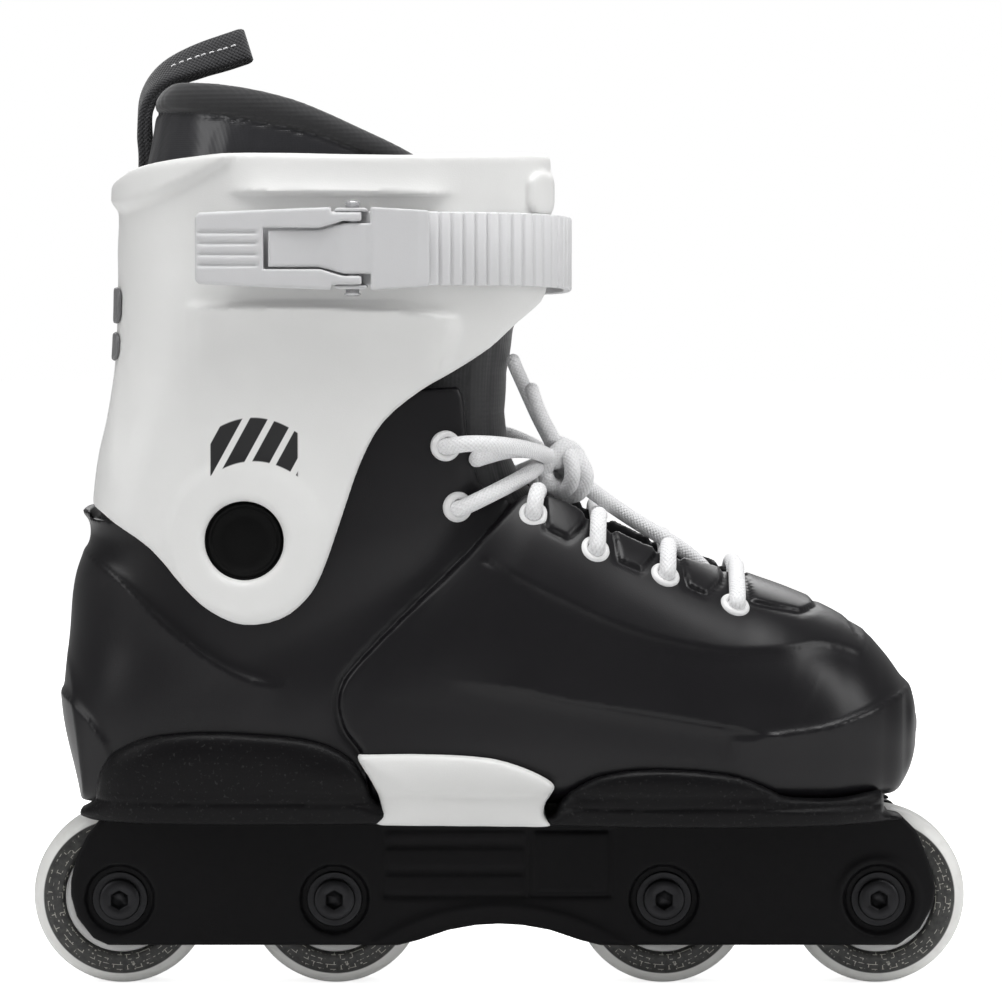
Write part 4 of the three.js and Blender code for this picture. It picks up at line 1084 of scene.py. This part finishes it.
def lace_points():
    """The lace's whole way: up from the toe, bar by bar, to the knot."""
    knot = np.array([20.9, -3, 175.5])
    way = [knot, (27, 2, 169.8), (34, 6, 164.4), (41, 8, 159.4), (48, 9, 154.8), (55, 10, 150.6),
           (62, 11, 146.2),
           (68, 13, 141.0), (72.5, 17, 135.6), (76, 22, 130)]

    def stop(i, sign):
        x, z = EYELETS[i]
        y = flank(x, z)
        normal = slope(x, y, z)
        at = np.array([x, y, z])
        mirror = np.array([1, sign, 1])
        inside = (at - normal * 5.5) * mirror
        outside = (at + normal * 3.2) * mirror
        return inside, at * mirror, outside

    def bar(i, sign):
        x, z = EYELETS[i]
        inside, hole, outside = stop(i, sign)
        back = stop(i, -sign)
        half = float(throat_half(x))
        top = float(hermite(FOOT, x, 3))
        middle = 63.5 + 0.36 * (top - 63.5)
        edge = middle + (top - middle) * (1 - (half / float(hermite(FOOT, x, 1))) ** 2.2) ** (1 / 2.2)
        lift = 3.9
        low = (0, 0, 0.5, 0.5, -2.6, -3)[i]
        over = [(x + 1.6, sign * (half + 3), edge + lift - 1),
                (x + 2, sign * (half - 6), edge + (lift + low) / 2), (x + 2, 0, edge + low),
                (x + 2, -sign * (half - 6), edge + (lift + low) / 2),
                (x + 1.6, -sign * (half + 3), edge + lift - 1)]
        mid = (np.array(outside) + np.array(over[0])) / 2 + np.array([0, sign * 1.6, 1.0])
        far = (np.array(back[2]) + np.array(over[-1])) / 2 + np.array([0, -sign * 1.6, 1.0])
        return [inside, hole, outside, mid, *over, far, back[2], back[1], back[0]]

    sign = 1
    for i in (5, 4, 3, 2):
        way += bar(i, sign)
        sign = -sign
        if i > 2:
            a, b = np.array(way[-1]), np.array(stop(i - 1, sign)[0])
            way.append((a + b) / 2 - np.array([0, sign * 2.0, 2.0]))
    inside, hole, outside = stop(1, 1)
    way += [(inside[0] + 12, 36, 158), inside, hole, outside, (-2, 36, 167.5), (8, 24, 172), (14.5, 8, 175.5),
            (13.5, -8, 175.5), (7, -24, 172), (-3, -36.5, 167.5)]
    inside, hole, outside = stop(1, -1)
    way += [outside, hole, inside]
    inside, hole, outside = stop(0, -1)
    way += [inside, hole, outside, (-10, -43.2, 184.6), (0, -38, 184), (9, -26, 182), (16, -12, 179), knot]
    return np.array(way, float)


def build_laces():
    path = through(lace_points(), 8)
    rings, _ = rope(path, LACE_R, 0.8, 16)
    skin("lace", rings, PAINT["lace"], slot="lace_cord", stands_for=["lacing", "lace_bow"])
    x, z = EYELETS[0]
    y = flank(x, z)
    normal = slope(x, y, z)
    at = np.array([x, y, z])
    loose = [at - normal * 6, at, at + normal * 3.2, (-9, 42.5, 185), (2, 36, 184), (11, 22, 181),
             (17, 8, 178),
             (21, -3, 175)]
    rings, _ = rope(through(loose, 8), LACE_R, 0.8, 16)
    skin("lace_far_side", rings, PAINT["lace"], slot="lace_cord")
    knot = [
        [(14, -9, 171), (17.5, -10.5, 178), (22, -9, 182), (26.5, -5, 178.5), (26.5, -3.5, 172),
         (22, -5, 168), (17, -8.5, 169.5), (15.2, -10.8, 174)],
        [(19, 1, 183), (23, -4, 181.5), (27.4, -8, 177), (29.2, -8.5, 171), (26.6, -7, 166.2),
         (22.4, -3.6, 165.5), (19.6, 1, 168.5), (18.6, 3, 176)],
        [(16, 4, 170), (19, -2, 166.8), (23, -8.6, 168), (24.6, -11.2, 173), (23.4, -9.6, 179),
         (20, -3, 182.4)],
    ]
    for n, spots in enumerate(knot):
        rings, _ = rope(through(spots, 8), LACE_R, 0.7, 14)
        skin(f"knot_{n}", rings, PAINT["lace"], slot="lace_cord")
    ends = [
        [(20, -2, 175), (18, -4, 182), (13, -7, 192), (8.5, -9, 202), (5.4, -10, 209), (4.0, -10.4, 213)],
        [(25.5, 3, 170), (22, -2, 178), (17.5, -8, 186), (13.5, -12, 194), (11.2, -14.4, 200.5),
         (10.6, -15, 203.5)],
        [(21, -7, 176), (13, -15, 180.5), (4, -24, 181.5), (-4, -31, 180), (-9.5, -35, 178.4)],
    ]
    for n, spots in enumerate(ends):
        radius = LACE_R * (0.86 if n < 2 else 1.0)
        rings, line = rope(through(spots, 10), radius, 0.8, 14)
        shape = skin(f"lace_end_{n}", rings, PAINT["lace"], slot="lace_cord")
        line = line.copy()
        line[:, 1] += CENTRE


def bend(shape):
    """Soft pieces that cross the cuff's pivot: their modifiers and place are baked into the mesh, and they
    are taken off their body.
    """
    seen = bpy.context.evaluated_depsgraph_get()
    mesh = bpy.data.meshes.new_from_object(shape.evaluated_get(seen))
    shape.modifiers.clear()
    shape.data = mesh
    shape.parent = None
    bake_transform(shape)


SEAM = [(-135, 292.5), (-124, 293.2), (-112.6, 293.6), (-99, 293), (-86.2, 291.3), (-63, 286.7),
        (-44.2, 279.6), (-30, 273), (-10, 262), (10, 250)]
LINER_TOP = [(-150, 288), (-120, 295), (-115, 298.6), (-110.5, 302), (-104.3, 303.6), (-86.1, 302),
             (-66.1, 297.2), (-46.2, 288.6), (-29, 280.2), (-15, 271), (0, 262), (12, 256), (40, 250)]


def build_liner():
    b = Block((-143, -50, 66), (137, 50, 309), 1.3)
    u, v = b.xz
    lower = np.maximum(boot_level(b.x, b.y, b.z) + 4.3, b.z - 168)
    upper = np.maximum(ring_level(COLLAR, b.z, b.x, b.y), 150 - b.z)
    level = b.distance(union(lower, upper, 5))
    d, side, _ = trace(through(SEAM, 4), u, v)
    above = np.where(side > 0, d, -d)
    relief = 2.3 * np.sqrt(np.clip(above / 5, 0, 1)) * ramp(above, -0.2, 1.5)
    relief = relief - 1.2 * np.exp(-(above / 0.9) ** 2)
    outer = level - b.side(relief)
    top = outline([*through(LINER_TOP, 4), (40, 40), (-150, 40)], u, v)
    f = cross(outer, -(level + 5.6), 2.5)
    f = cross(f, b.side(top), 5.0)
    throat = np.maximum(np.abs(b.y) - throat_half(b.x) - 2, 112 - b.z)
    throat = np.maximum(np.maximum(throat, -16 - b.x), b.z - 168)
    f = cut(f, throat, 2.0)
    front = np.maximum(np.abs(b.y) - 21, -14 - b.x)
    f = cut(f, np.maximum(front, 150 - b.z), 2.5)
    points, faces = nets(f, b)
    shape = piece("liner", points, faces, PAINT["liner"], 2, slot="liner_textile",
                  stands_for=["liner_foot", "liner_cuff"])
    mesh = shape.data
    mesh.materials.append(PAINT["satin"])
    middle = points[faces].mean(axis=1)
    d, side, _ = trace(through(SEAM, 4), middle[:, 0], middle[:, 2])
    reach = np.abs(middle[:, 1]) + 0.001
    outside = ring_level(COLLAR, middle[:, 2], middle[:, 0], reach) > -2.5
    satin = (side < 0) & outside & (middle[:, 2] > 215)
    mesh.polygons.foreach_set("material_index", satin.astype(np.int32))
    bend(shape)


def build_tongue():
    way = [(12.6, 0, 276), (11.8, 0, 268), (9.5, 0, 258), (5.5, 0, 240), (1.5, 0, 222), (-1.0, 0, 205),
           (-1.4, 0, 190), (0.2, 0, 178.5), (5.2, 0, 168.5), (14, 0, 160), (24, 0, 154.6), (33, 0, 150.6),
           (45, 0, 144.5), (55, 0, 139.2), (66, 0, 134), (80, 0, 127.5)]
    path, at = even(through(way, 6), 1.5)
    p, t, n, s = frames_along(path, (0, 1, 0))
    across = np.linspace(-1, 1, 41)
    half = 25.5 - 4.5 * ramp(at, 0, 1) * ramp(-at, -16, 0)
    rings = []
    for i in range(len(p)):
        thick = 3.2 * (0.55 + 0.45 * ramp(at[i], 0, 9))
        depth = 9.5 - 5 * ramp(p[i][0], 2, 26)
        pad = thick * (1 - np.abs(across) ** 5) ** 0.5
        stitch = 0.5 * np.exp(-((np.abs(across) - 0.74) / 0.03) ** 2)
        quilt = 0.35 * np.abs(np.sin(at[i] / 14 * math.pi)) * (np.abs(across) < 0.7)
        drop = -depth * across ** 2
        outer = drop + np.maximum(pad - stitch + quilt, 0.15)
        inner = drop - np.maximum(pad * 0.9, 0.15)
        lay = np.concatenate([outer, inner[::-1]])
        side = np.concatenate([across, across[::-1]]) * half[i]
        rings.append(p[i] + side[:, None] * n[i] + lay[:, None] * s[i])
    shape = skin("tongue", rings, PAINT["tongue"], slot="liner_textile",
                 stands_for=["tongue_lower", "tongue_upper"])
    bend(shape)


def build_pull_loop():
    """Two layers of webbing sewn together, turned on the way up so that the flat shows at the end."""
    way = [(-119.4, 0, 262), (-118.8, 0, 278.3), (-119.3, 0, 286.7), (-118.9, 0, 295.7), (-115.9, 0, 302.2),
           (-110.1, 0, 307.3), (-100.7, 0, 311.4), (-92, 0, 314.2), (-84.2, 0, 316.8)]
    path, at = even(through(way, 6), 0.7)
    p, t, n, s = frames_along(path, (0, 1, 0))
    turn = math.radians(62) * ramp(at, 22, at[-1] - 6)
    n, s = (n * np.cos(turn)[:, None] + s * np.sin(turn)[:, None],
            s * np.cos(turn)[:, None] - n * np.sin(turn)[:, None])
    p = p + np.array([0, -1.2, 0]) * ramp(at, 30, at[-1])[:, None]
    section = [(7, 0.35), (6.9, 1.5), (6.2, 2.3), (3, 2.45), (0, 2.5), (-3, 2.45), (-6.2, 2.3), (-6.9, 1.5),
               (-7, 0.35), (-6.6, 0), (-7, -0.35), (-6.9, -1.5), (-6.2, -2.3), (-3, -2.45), (0, -2.5),
               (3, -2.45), (6.2, -2.3), (6.9, -1.5), (7, -0.35), (6.6, 0)]
    section = np.array(section)
    end = np.sqrt(np.clip(1 - (1 - np.clip((at[-1] - at + 0.1) / 2.4, 0, 1)) ** 2, 0, 1))
    rings = (p[:, None, :] + section[:, 0][None, :, None] * (0.83 + 0.07 * end)[:, None, None] * n[:, None, :]
             + section[:, 1][None, :, None] * end[:, None, None] * s[:, None, :])
    skin("pull_tab", rings, PAINT["webbing"], body="cuff_body", slot="webbing", stands_for=["pull_loop"])
    for k in range(9):
        i = int(np.searchsorted(at, at[-1] - 26 + k * 2.6))
        for face in (-1, 1):
            spots = [p[i] + s[i] * face * 2.35 + t[i] * w * 0.75 + s[i] * face * h for w, h in
                     ((-1, 0), (-0.6, 0.28), (0, 0.34), (0.6, 0.28), (1, 0))]
            rings, _ = rope(spots, 0.28, 0.3, 8)
            skin(f"tab_stitch_{k}_{'a' if face < 0 else 'b'}", rings, PAINT["lace"], body="cuff_body",
                 slot="lace_cord")


def build_buckle():
    b = Block((-101, -64, 231), (-20, -46.5, 266), 0.45)
    u, v = b.xz
    h = v - BUCKLE_Z

    def slab(shape, y0, y1, k):
        return cross(b.side(shape), np.maximum(y0 - b.y, b.y - y1), k)

    def rect(x0, x1, half, k=1.2):
        o = np.maximum(np.abs(u - (x0 + x1) / 2) - (x1 - x0) / 2 + k, np.abs(h) - half + k)
        return np.where(o > 0, np.sqrt(np.maximum(np.abs(u - (x0 + x1) / 2) - (x1 - x0) / 2 + k, 0) ** 2
                                        + np.maximum(np.abs(h) - half + k, 0) ** 2), o) - k

    base = slab(rect(-84, -39, 11.4, 2), -50.7, -48.6, 0.6)
    ears = np.maximum(rect(-53.6, -42.4, 13.2, 1.5), 11.9 - np.abs(h))
    base = union(base, slab(ears, -60.6, -49, 0.5), 0.6)
    cast("buckle_plate", base, b, "buckle", 1, "cuff_body", "white_buckle", ["buckle_base"])

    body = outline([(-98.6, -10.2), (-97.4, -11.6), (-80, -12.4), (-54.6, -13.4), (-54.2, -11.7),
                    (-44.6, -11.7), (-44.6, 11.7), (-54.2, 11.7), (-54.6, 13.4), (-80, 12.4), (-97.4, 11.6),
                    (-98.6, 10.2)], u, h)
    slot = outline([(-76.4, -6.7), (-58, -6.7), (-50.5, -8.9), (-40, -8.9), (-40, 8.9), (-50.5, 8.9),
                    (-58, 6.7), (-76.4, 6.7)], u, h)
    grip = np.zeros(u.shape) + 0 * h
    for k in (-5.3, -1.8, 1.8, 5.3):
        grip = grip + 0.85 * np.exp(-((h - k) / 0.62) ** 4) * ramp(u, -98.5, -96.5) * ramp(-u, 77.5, 79.5)
    face = -60.4 - 1.8 * ramp(u, -84, -60)
    lever = cross(b.side(body), np.maximum(b.side(face + grip) - b.y, b.y + 54.8), 1.0)
    lever = cut(lever, b.side(slot), 0.5)
    cast("lever_arm", lever, b, "buckle", 1, "lever_body", "white_buckle", ["buckle_lever"])

    tail = outline([(-74.9, -6), (-58.4, -6), (-50.2, -8.2), (-41.6, -8.2), (-41.6, -13.4), (-23.2, -12.4),
                    (-22.6, -11.4), (-22.6, 11.4), (-23.2, 12.4), (-41.6, 13.4), (-41.6, 8.2), (-50.2, 8.2),
                    (-58.4, 6), (-74.9, 6)], u, h)
    face = -61.3 + 1.0 * ramp(-u, 50, 58) + 1.6 * ramp(u, -27, -22.6) - 0.6 * ramp(u, -43, -40.5)
    latch = cross(b.side(tail), np.maximum(b.side(face + 0 * h) - b.y, b.y + 55.2), 0.6)
    cast("latch_tab", latch, b, "buckle", 1, "latch_body", "white_buckle", ["release_latch"])

    def rivet(name, x, y, low, high, radius, body, stands_for):
        turned(name, [(0.1, low - 0.5), (radius * 0.8, low - 0.35), (radius + 0.5, low + 0.1),
                      (radius + 0.5, low + 0.5), (radius, low + 0.7), (radius, high - 0.7),
                      (radius + 0.5, high - 0.5), (radius + 0.5, high - 0.1), (radius * 0.8, high + 0.35),
                      (0.1, high + 0.5)], (x, y, 0), (0, 0, 1), PAINT["steel"], sides=28,
               body=body, slot="steel", stands_for=stands_for)

    rivet("hinge_rivet", -47.6, -58, BUCKLE_Z - 15.1, BUCKLE_Z + 15.1, 2.2, "cuff_body", ["lever_pin"])
    rivet("upper_rivet", -66.1, -57.4, BUCKLE_Z + 7, BUCKLE_Z + 11.5, 1.0, "lever_body", ["upper_pawl_pin"])
    rivet("lower_rivet", -66.1, -57.4, BUCKLE_Z - 11.5, BUCKLE_Z - 7, 1.0, "lever_body", ["lower_pawl_pin"])


def build_strap():
    def band_point(angle, grow):
        c, s = math.cos(angle), math.sin(angle)
        x = -53.35 + (73.85 + grow + 0.7) * math.copysign(abs(c) ** (2 / 3.2), c)
        return x, (49.6 + grow + 0.7) * math.copysign(abs(s) ** (2 / 3.2), s), 0

    way = [(x, -50.9, 0) for x in (-92, -80, -68, -56, -44, -34, -27)]
    way += [band_point(a, 0.1) for a in np.linspace(-1.0, 1.2, 34)]
    path, at = even(through(way, 4), 0.4)
    t = np.gradient(path, axis=0)
    t /= np.linalg.norm(t, axis=1)[:, None]
    out = np.stack([t[:, 1], -t[:, 0], np.zeros(len(t))], axis=1)
    first = float(at[np.argmin(np.abs(path[:, 0] + 24))])
    rings = []
    for i in range(len(path)):
        phase = ((at[i] - first) % 4.0) / 4.0
        ribbed = ramp(at[i], first - 0.5, first + 0.5) * ramp(at[-1] - at[i], 14, 15)
        step = 0.95 * (ramp(phase, 0, 0.2) - ramp(phase, 0.86, 1.0)) * ribbed
        thick = 2.2 + 0.9 * ribbed - (0.95 * ribbed - step)
        half = 12 - 0.2 * (ribbed * 0.95 - step)
        ring = []
        for z, o in ((half - 0.6, thick), (half - 0.15, thick - 0.2), (half, thick - 0.7), (half, 0.6),
                     (half - 0.5, 0),
                     (0, 0), (-half + 0.5, 0), (-half, 0.6), (-half, thick - 0.7),
                     (-half + 0.15, thick - 0.2),
                     (-half + 0.6, thick), (0, thick)):
            q = path[i] + out[i] * o
            ring.append((q[0], q[1], BUCKLE_Z - 0.1 + z - 0.05 * (q[1] + 50)))
        rings.append(ring)
    skin("strap", rings, PAINT["strap"], body="cuff_body", slot="white_strap", stands_for=["ladder_strap"])


def paint_the_rest():
    """CAD parts that show as they are take a finish of their own."""
    by_name = {"arch": "frame", "bolt": "bolt", "nut": "bolt", "bearing": "steel", "spacer": "steel",
               "axle": "bolt",
               "footbed": "foam", "pad": "foam", "pawl": "steel", "screw": "steel", "pin": "steel",
               "tyre": "tyre", "core": "core", "strap": "strap", "liner": "liner", "tongue": "tongue",
               "lac": "lace"}
    for name, node in NODES.items():
        chosen = next((paint for key, paint in by_name.items() if key in name), "shell")
        node.data.materials.clear()
        node.data.materials.append(PAINT[chosen])


stage()
build_laces()
build_shell()
build_plates()
build_frame()
build_cuff()
build_wheels()
build_caps()
build_eyelets()
build_liner()
build_tongue()
build_pull_loop()
build_buckle()
build_strap()
paint_the_rest()
